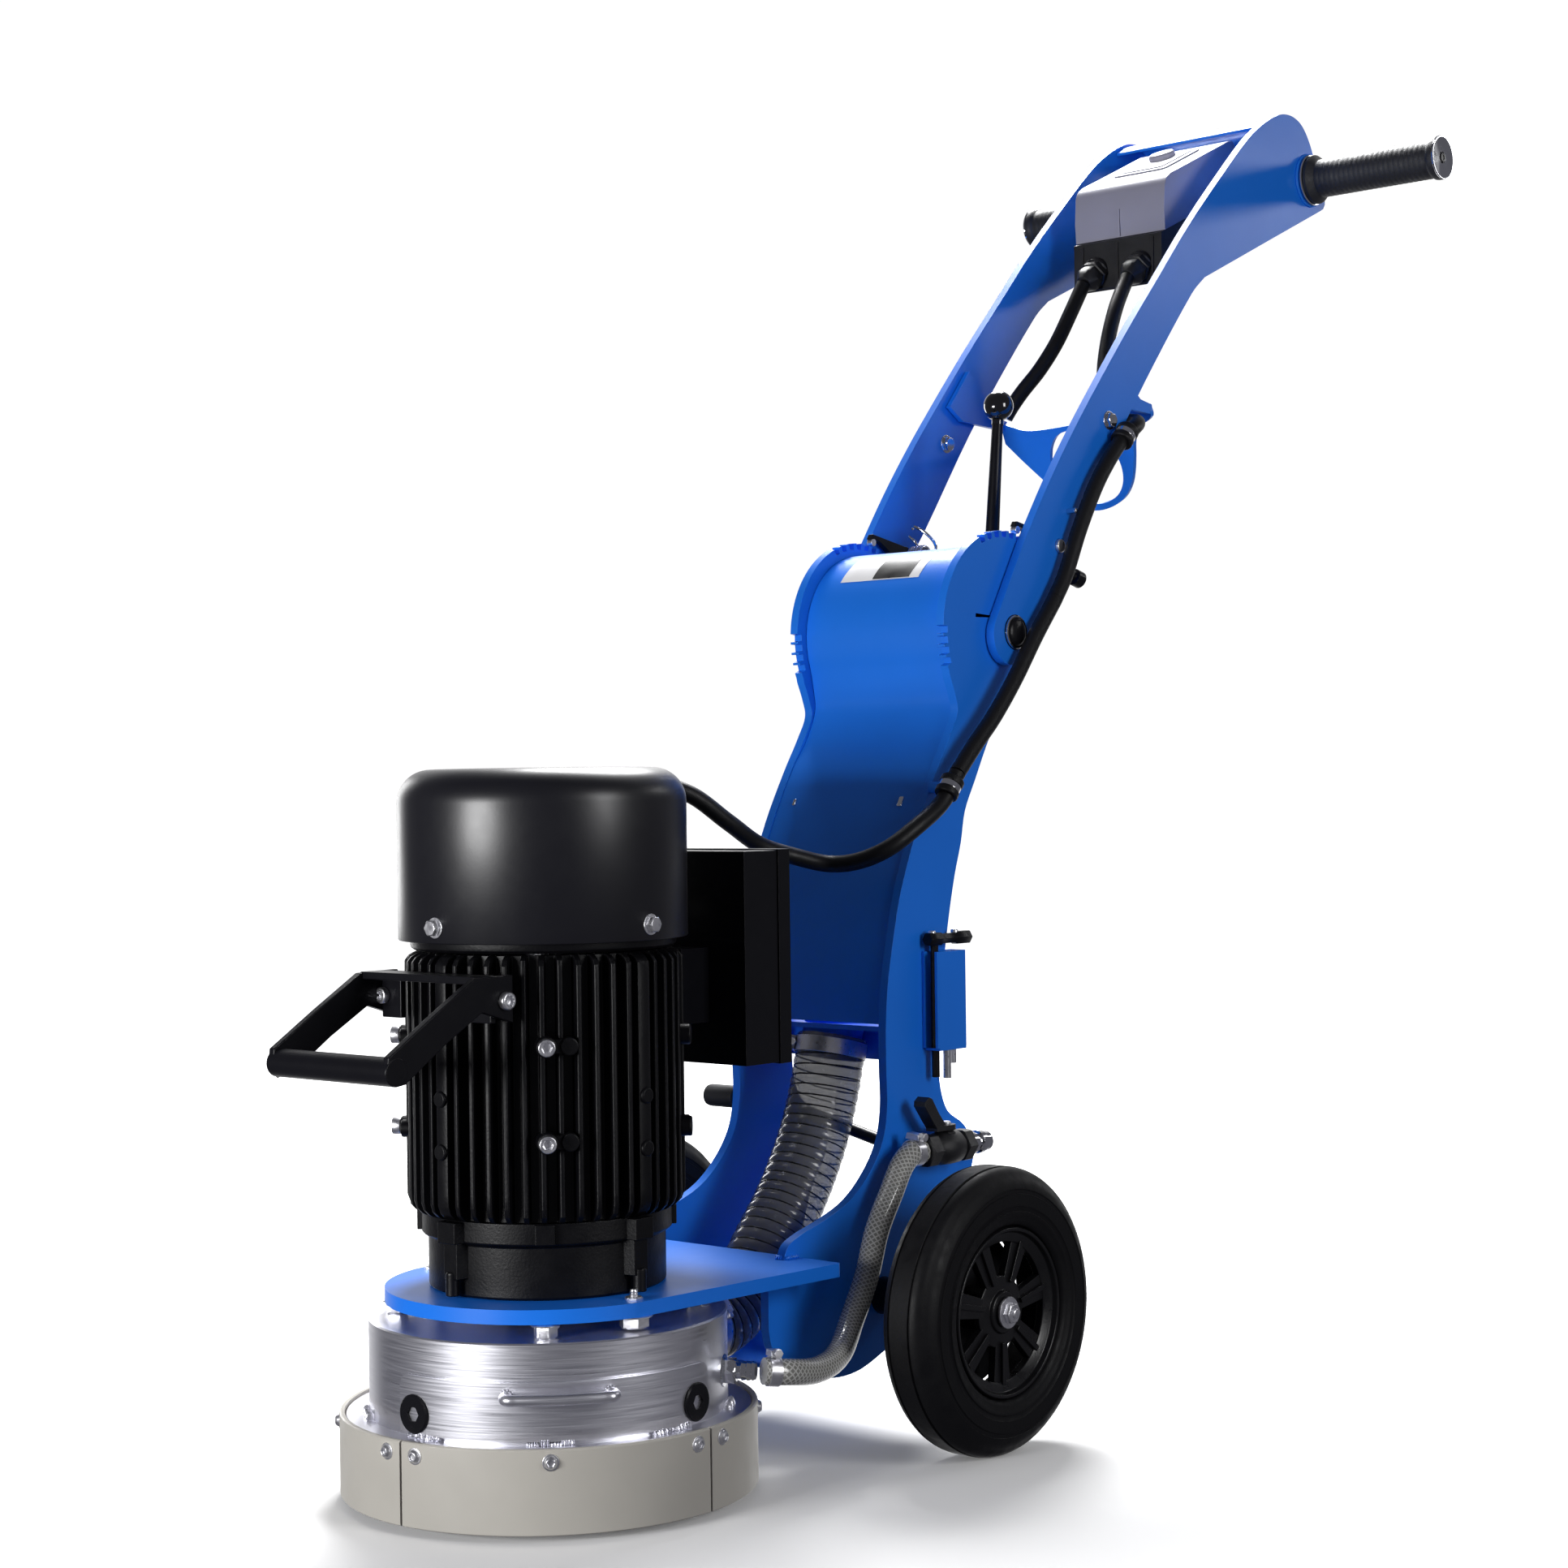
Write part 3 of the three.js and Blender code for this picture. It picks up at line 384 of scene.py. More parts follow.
def hex_head(piece, centre, axis, r, height, washer=True, stud=0):
    """A hexagon head or nut, with a washer under it and a stud end if asked."""
    axis = axis.normalized()
    lift = 0
    if washer:
        lift = height * 0.18
        disc = [(r * 1.35, 0), (r * 1.45, lift * 0.3), (r * 1.4, lift), (r * 0.7, lift)]
        piece.loft(stack(centre, axis, disc))
    top = lift + height
    piece.loft(stack(centre, axis, [
        (r * 0.97, lift, "hex"), (r, lift + height * 0.1, "hex"), (r, top - height * 0.15, "hex"),
        (r * 0.93, top), (r * 0.5, top),
    ]))
    if stud:
        core = r * 0.5
        thread = []
        turns = max(3, int(stud / 1.2))
        for i in range(turns):
            thread.append((core, top - 0.5 + stud * i / turns))
            thread.append((core * 0.88, top - 0.5 + stud * (i + 0.5) / turns))
        piece.loft(stack(centre, axis, [*thread, (core * 0.8, top + stud)]))


def weld_bead(piece, points, r=2.2):
    """A rippled weld along a line of points."""
    line = smooth_line(points, 10)
    radii = [r * (0.85 + 0.2 * math.sin(i * 1.7)) for i in range(len(line))]
    radii[0] = radii[-1] = r * 0.55
    piece.tube(line, r, sides=8, radii=radii)


# ---------------------------------------------------------------- materials
def set_inputs(node, values):
    for name, value in values.items():
        node.inputs[name].default_value = value


def maths(owner, operation, *values):
    """A math node fed by sockets or plain numbers. Gives its output."""
    made = owner.node_tree.nodes.new("ShaderNodeMath")
    made.operation = operation
    for socket, value in zip(made.inputs, values):
        if isinstance(value, (int, float)):
            socket.default_value = value
        else:
            owner.node_tree.links.new(value, socket)
    return made.outputs[0]


def colour_ramp(owner, factor, low, high):
    """A colour ramp between two (position, colour) stops. Gives its output."""
    made = owner.node_tree.nodes.new("ShaderNodeValToRGB")
    for element, (position, colour) in zip(made.color_ramp.elements, (low, high)):
        element.position = position
        element.color = (*colour, 1)
    owner.node_tree.links.new(factor, made.inputs["Fac"])
    return made.outputs["Color"]


def map_range(owner, value, source, target):
    """A map range node from one (low, high) pair to another. Gives its output."""
    made = owner.node_tree.nodes.new("ShaderNodeMapRange")
    set_inputs(made, {"From Min": source[0], "From Max": source[1], "To Min": target[0], "To Max": target[1]})
    owner.node_tree.links.new(value, made.inputs["Value"])
    return made.outputs["Result"]


def shader(name, colour, rough, metal=0.0, grain=(900, 0.15), shade=0.08, rough_spread=0.08,
           coat=0.0, patch=14, stretch=(1, 1, 1), distance=0.0004, gloss=0.5):
    """A principled material with its own colour drift, roughness drift and fine relief."""
    mat = bpy.data.materials.new(name)
    mat.use_nodes = True
    nodes, links = mat.node_tree.nodes, mat.node_tree.links
    bsdf = nodes["Principled BSDF"]
    set_inputs(bsdf, {
        "Metallic": metal, "Coat Weight": coat, "Coat Roughness": 0.12, "Specular IOR Level": gloss,
    })
    place = nodes.new("ShaderNodeTexCoord")
    mapping = nodes.new("ShaderNodeMapping")
    mapping.inputs["Scale"].default_value = stretch
    links.new(place.outputs["Object"], mapping.inputs["Vector"])

    def noise(scale, detail):
        made = nodes.new("ShaderNodeTexNoise")
        set_inputs(made, {"Scale": scale, "Detail": detail})
        links.new(mapping.outputs[0], made.inputs["Vector"])
        return made.outputs["Fac"]

    darker = [c * (1 - shade) for c in colour]
    lighter = [min(1, c * (1 + shade)) for c in colour]
    links.new(colour_ramp(mat, noise(patch, 5), (0.3, darker), (0.7, lighter)), bsdf.inputs["Base Color"])
    finish = (max(0.03, rough - rough_spread), min(1, rough + rough_spread))
    links.new(map_range(mat, noise(patch * 5, 6), (0.3, 0.7), finish), bsdf.inputs["Roughness"])
    bump = nodes.new("ShaderNodeBump")
    set_inputs(bump, {"Strength": grain[1], "Distance": distance})
    links.new(noise(grain[0], 3), bump.inputs["Height"])
    links.new(bump.outputs["Normal"], bsdf.inputs["Normal"])
    return mat


def turned_metal(name, colour, rough, centre):
    """Brushed metal whose scratches run round an upright axis."""
    mat = shader(name, colour, rough, metal=1.0, shade=0.06, patch=10, grain=(700, 0.1))
    nodes, links = mat.node_tree.nodes, mat.node_tree.links
    place = nodes.new("ShaderNodeTexCoord")
    split = nodes.new("ShaderNodeSeparateXYZ")
    links.new(place.outputs["Object"], split.inputs["Vector"])
    angle = maths(mat, "ARCTAN2", maths(mat, "SUBTRACT", split.outputs["Y"], centre.y), split.outputs["X"])
    join = nodes.new("ShaderNodeCombineXYZ")
    links.new(angle, join.inputs["X"])
    links.new(split.outputs["Z"], join.inputs["Z"])
    streak = nodes.new("ShaderNodeMapping")
    streak.inputs["Scale"].default_value = (2.5, 1, 900)
    links.new(join.outputs[0], streak.inputs["Vector"])
    noise = nodes.new("ShaderNodeTexNoise")
    set_inputs(noise, {"Scale": 1.0, "Detail": 4})
    links.new(streak.outputs[0], noise.inputs["Vector"])
    bump = nodes["Bump"]
    set_inputs(bump, {"Strength": 0.05, "Distance": 0.0001})
    links.new(noise.outputs["Fac"], bump.inputs["Height"])
    links.new(noise.outputs["Fac"], nodes["Map Range"].inputs["Value"])
    return mat


def braided(name):
    """Clear hose wall over a white diamond braid, laid out by the tube's UVs."""
    mat = bpy.data.materials.new(name)
    mat.use_nodes = True
    nodes, links = mat.node_tree.nodes, mat.node_tree.links
    bsdf = nodes["Principled BSDF"]
    set_inputs(bsdf, {"Roughness": 0.2, "Coat Weight": 0.6})
    uv = nodes.new("ShaderNodeTexCoord")
    split = nodes.new("ShaderNodeSeparateXYZ")
    links.new(uv.outputs["UV"], split.inputs["Vector"])
    turns = maths(mat, "MULTIPLY", split.outputs["X"], 12)
    along = maths(mat, "MULTIPLY", split.outputs["Y"], 0.24)
    strands = [maths(mat, "PINGPONG", maths(mat, lean, turns, along), 0.5) for lean in ("ADD", "SUBTRACT")]
    nearest = maths(mat, "MINIMUM", *strands)
    braid = colour_ramp(mat, nearest, (0.1, (0.5, 0.5, 0.48)), (0.2, (0.2, 0.2, 0.185)))
    links.new(braid, bsdf.inputs["Base Color"])
    bump = nodes.new("ShaderNodeBump")
    set_inputs(bump, {"Strength": 0.3, "Distance": 0.0006})
    bump.invert = True
    links.new(nearest, bump.inputs["Height"])
    links.new(bump.outputs["Normal"], bsdf.inputs["Normal"])
    return mat


def clear_film(name):
    """Thin smoky plastic that lets part of the light through."""
    mat = shader(name, (0.17, 0.17, 0.165), 0.22, grain=(300, 0.2), patch=30, coat=0.5)
    bsdf = mat.node_tree.nodes["Principled BSDF"]
    bsdf.inputs["Alpha"].default_value = 0.8
    return mat


BLUE = shader("blue_paint", (0.01, 0.185, 0.82), 0.36, grain=(650, 0.08), shade=0.03, gloss=0.35,
              rough_spread=0.015)
BLACK = shader("black_paint", (0.004, 0.004, 0.006), 0.32, grain=(1100, 0.2), gloss=0.25, rough_spread=0.02)
COVER_BLACK = shader("black_gloss_paint", (0.005, 0.005, 0.008), 0.36, grain=(420, 0.05), gloss=0.55,
                     rough_spread=0.015)
CAST_BLACK = shader("black_casting", (0.002, 0.002, 0.003), 0.42, grain=(480, 0.4), rough_spread=0.06,
                    gloss=0.22)
ALU = turned_metal("brushed_aluminium", (0.82, 0.82, 0.88), 0.35, SPINDLE)
STEEL = shader("zinc_plate", (0.85, 0.85, 0.88), 0.34, metal=1.0, grain=(900, 0.15), patch=60)
CHROME = shader("chrome", (0.78, 0.79, 0.82), 0.1, metal=1.0, grain=(500, 0.04), rough_spread=0.04)
CAST = shader("cast_iron", (0.12, 0.12, 0.125), 0.5, metal=0.8, grain=(500, 0.5))
SINTER = shader("diamond_matrix", (0.2, 0.18, 0.15), 0.55, metal=0.7, grain=(1500, 0.9), patch=200,
                shade=0.3)
COPPER = shader("varnished_winding", (0.45, 0.16, 0.05), 0.35, metal=0.6, grain=(900, 0.4),
                stretch=(1, 1, 8))
BEIGE = shader("skirt_plastic", (0.47, 0.45, 0.405), 0.42, grain=(260, 0.12), shade=0.06, patch=9)
PLASTIC = shader("black_plastic", (0.012, 0.012, 0.014), 0.42, grain=(1600, 0.35))
KNOB = shader("knob_plastic", (0.005, 0.005, 0.006), 0.1, grain=(300, 0.03), rough_spread=0.04, coat=0.8)
RUBBER = shader("cable_rubber", (0.005, 0.005, 0.006), 0.45, gloss=0.3, grain=(1400, 0.3), patch=40)
GRIP_RUBBER = shader("grip_rubber", (0.016, 0.017, 0.022), 0.55, grain=(1300, 0.5), patch=30)
TYRE = shader("tyre_rubber", (0.004, 0.004, 0.005), 0.52, gloss=0.18, grain=(500, 0.25),
              rough_spread=0.1, patch=20)
RIM = shader("rim_plastic", (0.005, 0.005, 0.006), 0.32, grain=(700, 0.2), gloss=0.4)
PALE = shader("pale_cover", (0.33, 0.328, 0.42), 0.4, grain=(900, 0.12), shade=0.04)
WHITE = shader("label_white", (0.75, 0.75, 0.76), 0.35, grain=(800, 0.05), shade=0.03)
YELLOW = shader("label_yellow", (0.75, 0.52, 0.02), 0.35, grain=(800, 0.05), shade=0.03)
INK = shader("label_black", (0.01, 0.01, 0.01), 0.35, grain=(800, 0.05))
RED = shader("red_button", (0.5, 0.012, 0.012), 0.25, grain=(600, 0.08), coat=0.4)
GREEN = shader("green_button", (0.01, 0.3, 0.05), 0.25, grain=(600, 0.08), coat=0.4)
FILM = clear_film("hose_film")
WIRE = shader("hose_wire", (0.02, 0.02, 0.022), 0.25, metal=0.3, grain=(600, 0.1))
BRAID = braided("braided_hose")


# ---------------------------------------------------------------- camera, floor and light
VIEW_TURN = math.radians(41.18)
DIM = 0.1


def make_camera():
    """A level long-lens view from the front and to the right of the machine."""
    camera = bpy.data.cameras.new("camera")
    camera.lens = 63.84
    camera.sensor_width = 36
    camera.shift_y = 0.0042
    camera.clip_end = 50
    obj = bpy.data.objects.new("camera", camera)
    lean = -0.0132
    obj.matrix_world = (
        Matrix.Translation(at(1499.1, -1439.7, 518.1))
        @ Matrix.Rotation(VIEW_TURN, 4, "Z") @ Matrix.Rotation(math.radians(90), 4, "X")
        @ Matrix.Rotation(lean, 4, "Z")
    )
    bpy.context.scene.collection.objects.link(obj)
    bpy.context.scene.camera = obj


def area_light(name, place, aim, size, power):
    light = bpy.data.lights.new(name, "AREA")
    light.shape = "RECTANGLE"
    light.size, light.size_y = size
    light.energy = power
    obj = bpy.data.objects.new(name, light)
    obj.location = place
    obj.rotation_euler = (Vector(aim) - Vector(place)).to_track_quat("-Z", "Y").to_euler()
    obj.visible_camera = False
    bpy.context.scene.collection.objects.link(obj)


def studio_world():
    """White behind the machine and wherever the camera looks, dim all round it."""
    world = bpy.data.worlds.new("studio")
    bpy.context.scene.world = world
    world.use_nodes = True
    nodes, links = world.node_tree.nodes, world.node_tree.links
    place = nodes.new("ShaderNodeTexCoord")
    along = nodes.new("ShaderNodeVectorMath")
    along.operation = "DOT_PRODUCT"
    along.inputs[1].default_value = (-math.sin(VIEW_TURN), math.cos(VIEW_TURN), 0)
    links.new(place.outputs["Generated"], along.inputs[0])
    seen = nodes.new("ShaderNodeLightPath")
    either = maths(world, "MAXIMUM", along.outputs["Value"], seen.outputs["Is Camera Ray"])
    sky = colour_ramp(world, either, (0.6, (DIM, DIM, DIM * 1.15)), (0.95, (1, 1, 1)))
    links.new(sky, nodes["Background"].inputs["Color"])
    nodes["Background"].inputs["Strength"].default_value = 1.02


def floor_material():
    """Pale matt floor that fades to the white backdrop away from the machine."""
    mat = shader("studio_floor", (0.95, 0.95, 0.95), 0.9, grain=(40, 0.02), shade=0.01)
    nodes, links = mat.node_tree.nodes, mat.node_tree.links
    bsdf = nodes["Principled BSDF"]
    bsdf.inputs["Emission Color"].default_value = (1, 1, 1, 1)
    bsdf.inputs["Specular IOR Level"].default_value = 0.0
    place = nodes.new("ShaderNodeTexCoord")
    far = nodes.new("ShaderNodeVectorMath")
    far.operation = "LENGTH"
    links.new(place.outputs["Object"], far.inputs[0])
    glow = map_range(mat, far.outputs["Value"], (0.7, 2.5), (0.08, 1.0))
    links.new(glow, bsdf.inputs["Emission Strength"])
    return mat


def make_studio():
    mesh = bpy.data.meshes.new("studio_floor")
    size = 30
    corners = [(-size, -size, 0), (size, -size, 0), (size, size, 0), (-size, size, 0)]
    mesh.from_pydata(corners, [], [(0, 1, 2, 3)])
    mesh.materials.append(floor_material())
    floor = bpy.data.objects.new("studio_floor", mesh)
    bpy.context.scene.collection.objects.link(floor)
    floor.visible_diffuse = False
    floor.visible_glossy = False
    studio_world()
    area_light("top_light", (-1.0, 1.35, 2.7), (0, -0.1, 0), (1.2, 1.0), 165)
    area_light("front_light", (-0.1, -2.3, 0.44), (0, -0.4, 0.42), (0.7, 0.4), 34)
    area_light("right_light", (2.4, -0.15, 0.95), (0, -0.3, 0.35), (0.6, 1.0), 20)
    area_light("left_light", (-2.6, 0.5, 0.7), (0, -0.3, 0.4), (0.5, 1.4), 14)
    area_light("rear_light", (1.03, 1.93, 1.42), (0, 0.35, 1.0), (0.6, 0.2), 2.6)
    bpy.context.scene.view_settings.view_transform = "Standard"


make_camera()
make_studio()


# ---------------------------------------------------------------- guard, door and skirt
def guard_drum():
    wall = 4
    ceiling = DRUM_TOP - wall
    drum = Piece("guard_shell", ALU, STEEL)
    profile_top = [
        (DRUM_R - wall, DOOR_HIGH - 5), (DRUM_R, DOOR_HIGH - 5), (DRUM_R, DRUM_TOP - 1.2),
        (DRUM_R - 1.2, DRUM_TOP), (45, DRUM_TOP), (45, ceiling), (DRUM_R - wall, ceiling),
    ]
    drum.lathe(profile_top, steps=144)
    drum.lathe([
        (DRUM_R - wall, 60), (FLANGE_R - 0.5, 60), (FLANGE_R, 60.5), (FLANGE_R, 63.5),
        (FLANGE_R - 0.5, 64), (DRUM_R, 64), (DRUM_R, DOOR_LOW + 5), (DRUM_R - wall, DOOR_LOW + 5),
    ], steps=144)
    start = DOOR_DEG + DOOR_HALF - 8
    drum.lathe(
        [(DRUM_R - wall, DOOR_LOW + 4), (DRUM_R, DOOR_LOW + 4), (DRUM_R, DOOR_HIGH - 4),
         (DRUM_R - wall, DOOR_HIGH - 4)],
        axis=Z, steps=100, span=door_span(start, DOOR_DEG - DOOR_HALF + 8 + 360),
    )
    for deg in (45, 135, 225, 315):
        hex_head(drum.paint(1), around(112, deg, BASE_LOW - 0.4), -Z, 7.5, BASE_LOW - DRUM_TOP - 2)
    drum.paint(0)
    welds, lumps = 9, 4
    for i in range(welds):
        for k in range(lumps):
            deg = 5 + i * 360 / welds + (k - 1.5) * 3.4 + (i * 3 % 4) * 0.4
            long = 1.5 + (i + k * 2) % 3 * 0.45
            points = [around(DRUM_R + 2, deg + s * long, 64.6 + k % 2 * 0.9) for s in (-1, 0, 1)]
            weld_bead(drum, points, 2.4 + (i + k) % 3 * 0.6)
    port_high = box_mm("guard_drum")[1]
    drum.lathe([(22, 126), (25, 126), (25, port_high.y - 1), (24.3, port_high.y), (22, port_high.y)],
               (0, 0, 95), Y, 48)
    drum.done("chassis", ["guard_drum"], angle=40)
    nipple = Piece("water_nipple", CHROME)
    axis = outward(121)
    start_point = around(DRUM_R - 1, 121, 92)
    hex_head(nipple, start_point, axis, 8.5, 9, washer=True)
    barbs = [(6, 9), (6, 14), (7.2, 14.5), (6.4, 18), (7.2, 18.5), (6.4, 22), (7.2, 22.4), (6.2, 25)]
    nipple.loft(stack(start_point, axis, barbs))
    nipple.done("chassis")


def door_span(start, end):
    """Angles from the front towards +X, as lathe angles about Z."""
    u, v = frame_of(Z)
    probe = around(1, start, 0)
    first = math.degrees(math.atan2(probe.dot(v), probe.dot(u)))
    turn = around(1, start + 1, 0)
    step = math.degrees(math.atan2(turn.dot(v), turn.dot(u))) - first
    step = (step + 180) % 360 - 180
    sign = 1 if step > 0 else -1
    return first, first + sign * (end - start)


def guard_door():
    inner, outer = DRUM_R + 0.8, DRUM_R + 3.5
    door = Piece("door_sheet", ALU, BLACK, INK)
    corner, steps = 8, 72
    sheet = []
    for i in range(steps + 1):
        deg = DOOR_DEG - DOOR_HALF + 2 * DOOR_HALF * i / steps
        edge = (DOOR_HALF - abs(deg - DOOR_DEG)) * math.pi / 180 * outer
        drop = corner - math.sqrt(max(0, corner ** 2 - max(0, corner - edge) ** 2))
        sheet.append([around(r, deg, z) for r, z in (
            (inner, DOOR_LOW), (outer, DOOR_LOW), (outer, DOOR_HIGH - drop), (inner, DOOR_HIGH - drop))])
    door.loft(sheet)
    for deg in (DOOR_DEG - 47.3, DOOR_DEG + 47.3):
        out = outward(deg)
        base = around(outer - 1.4, deg, 81)
        knob = [(14, 0), (14, 2.4), (13, 3.2), (5, 3.2, "hex"), (5, 0.6, "hex"), (1, 0.6)]
        door.paint(1).loft(stack(base, out, knob, 32))
    loop_z = 99
    half = 15.5
    radius = DRUM_R + 17.8
    points = [around(outer - 0.5, DOOR_DEG - half, loop_z), around(outer + 9, DOOR_DEG - half, loop_z)]
    points += [around(radius, DOOR_DEG - half + 1.5, loop_z)]
    points += [around(radius, DOOR_DEG + half * s, loop_z) for s in (-0.75, -0.4, 0, 0.4, 0.75)]
    points += [around(radius, DOOR_DEG + half - 1.5, loop_z)]
    points += [around(outer + 9, DOOR_DEG + half, loop_z), around(outer - 0.5, DOOR_DEG + half, loop_z)]
    door.paint(0).tube(smooth_line(points, 6), 4, 14)
    for s in (-1, 1):
        spot = around(outer, DOOR_DEG + s * half, loop_z)
        for k in range(10):
            a = 2 * math.pi * k / 10
            sideways = around(1, DOOR_DEG + s * half + 90, 0)
            blob = spot + Vector((0, 0, 3.6 * math.sin(a))) + sideways * 3.6 * math.cos(a)
            door.lathe([(0, -1.3), (1.2, -0.9), (1.7, 0), (1.2, 0.9), (0, 1.3)], blob,
                       outward(DOOR_DEG), 8, closed=False)
    door.done("door", ["guard_door"], bevel=0.6)


def skirt():
    seam = 3.5
    for i in range(4):
        node = f"skirt_{i + 1}"
        start, end = seam + 90 * i + 0.35, seam + 90 * (i + 1) - 0.35
        strip = Piece(f"skirt_strip_{i + 1}", BEIGE, STEEL)
        inner = FLANGE_R + 1
        strip.lathe([
            (inner, SKIRT_LOW), (SKIRT_R - 0.8, SKIRT_LOW), (SKIRT_R, SKIRT_LOW + 0.8),
            (SKIRT_R, SKIRT_TOP - 1), (SKIRT_R - 1, SKIRT_TOP), (inner, SKIRT_TOP),
        ], steps=60, span=door_span(start, end))
        for deg in (start + 4.7, (start + end) / 2 - 2.3, end - 4.7):
            out = outward(deg)
            base = around(SKIRT_R - 0.4, deg, SKIRT_TOP - 9)
            strip.paint(1).loft(stack(base, out, [(6.0, 0), (6.0, 0.9), (5.4, 1.1), (4.6, 1.1)]))
            socket_head(strip, base + out * 0.8, out, 4.6, 3.0, 0.5, 0.6)
            strip.paint(0)
        strip.done("chassis", [node], bevel=0.35)


def base_plate():
    plate = Piece("deck_plate", BLUE, STEEL)
    front = arc(0, 0, BASE_FRONT_R, 192, 348, 72)
    back = [
        *arc(BASE_BACK_HALF - 3, BASE_BACK_Y - 3, 3, 0, 90, 4),
        *arc(-BASE_BACK_HALF + 3, BASE_BACK_Y - 3, 3, 90, 180, 4),
    ]
    plate.plate(front + back, BASE_LOW, BASE_TOP, "XY", [circle(0, 0, 48, 64)])
    for deg, r, size, stud in ((80, 109, 9.5, 0), (47, 104, 5.5, 0), (-50, 104, 5.5, 0), (-80, 109, 9.5, 0)):
        centre = around(r, deg, BASE_LOW)
        hex_head(plate.paint(1), centre, -Z, size, size * 0.85, washer=True, stud=stud)
        if size > 8:
            hex_head(plate, around(r, deg, BASE_TOP - 2), Z, size * 0.62, 4.5, washer=False, stud=5)
    plate.paint(0)
    plate.done("chassis", ["base_plate"], bevel=1.0, segments=3)


# ---------------------------------------------------------------- motor
def motor_flange():
    low, high = box_mm("motor_flange")
    piece = Piece("motor_foot", CAST_BLACK, STEEL)
    r1, r2 = 88, 93
    piece.lathe([
        (20, low.z), (r1 - 1.5, low.z), (r1, low.z + 1.5), (r1, 194), (r2 - 1.5, 195.5), (r2, 197),
        (r2, high.z), (80, high.z), (80, 182), (26.3, 182), (26.3, 162), (20, 162),
    ], steps=128)
    for deg in (0, 90, 180, 270):
        out = outward(deg)
        side = Z.cross(out)
        for z0, z1, r, half in ((196, 211.5, 101, 11), (170, 196, 97, 9)):
            outline = [(r1 - 3, -half), (r, -half + 2), (r, half - 2), (r1 - 3, half)]
            piece.plate(outline, z0, z1, axes=(out, side, Z))
        piece.lathe([(0, 0), (5, 0), (5, 16), (4, 17), (0, 17)], around(95, deg, 158), Z, 20)
    for deg in (45, 135, 225, 315):
        out = outward(deg)
        side = Z.cross(out)
        piece.plate([(r1 - 3, -9), (r2 + 3, -7), (r2 + 3, 7), (r1 - 3, 9)], 197, 211.5, axes=(out, side, Z))
    piece.done("chassis", ["motor_flange"], bevel=1.2)


def motor_housing():
    piece = Piece("motor_finned_body", CAST_BLACK, STEEL)
    bore, root = 84, 91
    outer = box_mm("motor_housing")[1].y
    bosses = {0, 90, 180, 270}
    fins = 48
    outline = []
    pitch = 360 / fins
    for i in range(fins):
        deg = i * pitch
        near = min(abs((deg - b + 180) % 360 - 180) for b in bosses)
        wide = near < pitch * 0.6
        half = pitch * (0.42 if wide else 0.15)
        height = outer - (0.5 if wide else 1.4 + 2.2 * (i % 2) * (near > 30))
        flank = [(root, 1.5), (root + 2, 1.15), (height - 0.8, 1), (height, 0.6)]
        outline += [(r, deg + -half * part) for r, part in flank]
        outline += [(r, deg + half * part) for r, part in reversed(flank)]
    low, high = FIN_LOW, FIN_HIGH - 1
    ends = [(low, 9.5), (low + 1.5, 7), (low + 5, 3.5), (low + 11, 1), (low + 20, 0),
            (high - 14, 0), (high - 7, 1.5), (high - 3, 4.5), (high - 1, 8), (high, 11)]

    def ring(z, limit):
        return [around(min(r, limit), deg, z) for r, deg in outline]

    loops = [ring(z, outer - drop) for z, drop in ends]
    piece.loft([ring(low, bore), *loops, ring(high, bore), ring(low, bore)], caps=False)
    for deg in (51, -51, 129, -129):
        out = outward(deg)
        side = Z.cross(out)
        for z in (271, 339):
            pad = [(90, -12), (103, -12), (104.5, -10), (104.5, 10), (103, 12), (90, 12)]
            piece.plate(pad, z - 5, z + 5, axes=(out, side, Z))
            tall = [(0, -12), (7.6, -12), (7.6, 4), (6.8, 5), (0, 5)]
            piece.lathe(tall, around(105, deg - 4.5, z), out, 24)
            short = [(0, -12), (6.6, -12), (6.6, 1.2), (6, 2), (0, 2)]
            piece.lathe(short, around(105, deg + 4.5, z), out, 24)
            if abs(deg) < 90:
                socket_head(piece.paint(1), around(110.5, deg - 4.5, z), out, 6.4, 6.5, 0.5, 0.15)
                piece.paint(0)
    for deg in (0, 90, 180, 270):
        out = outward(deg)
        for z in (262, 300):
            piece.lathe([(0, 0), (6, 0), (6, 1.6), (5, 2.6), (0, 2.6)], around(outer - 1, deg, z), out, 20)
    piece.done("chassis", ["motor_housing"], bevel=0.5)


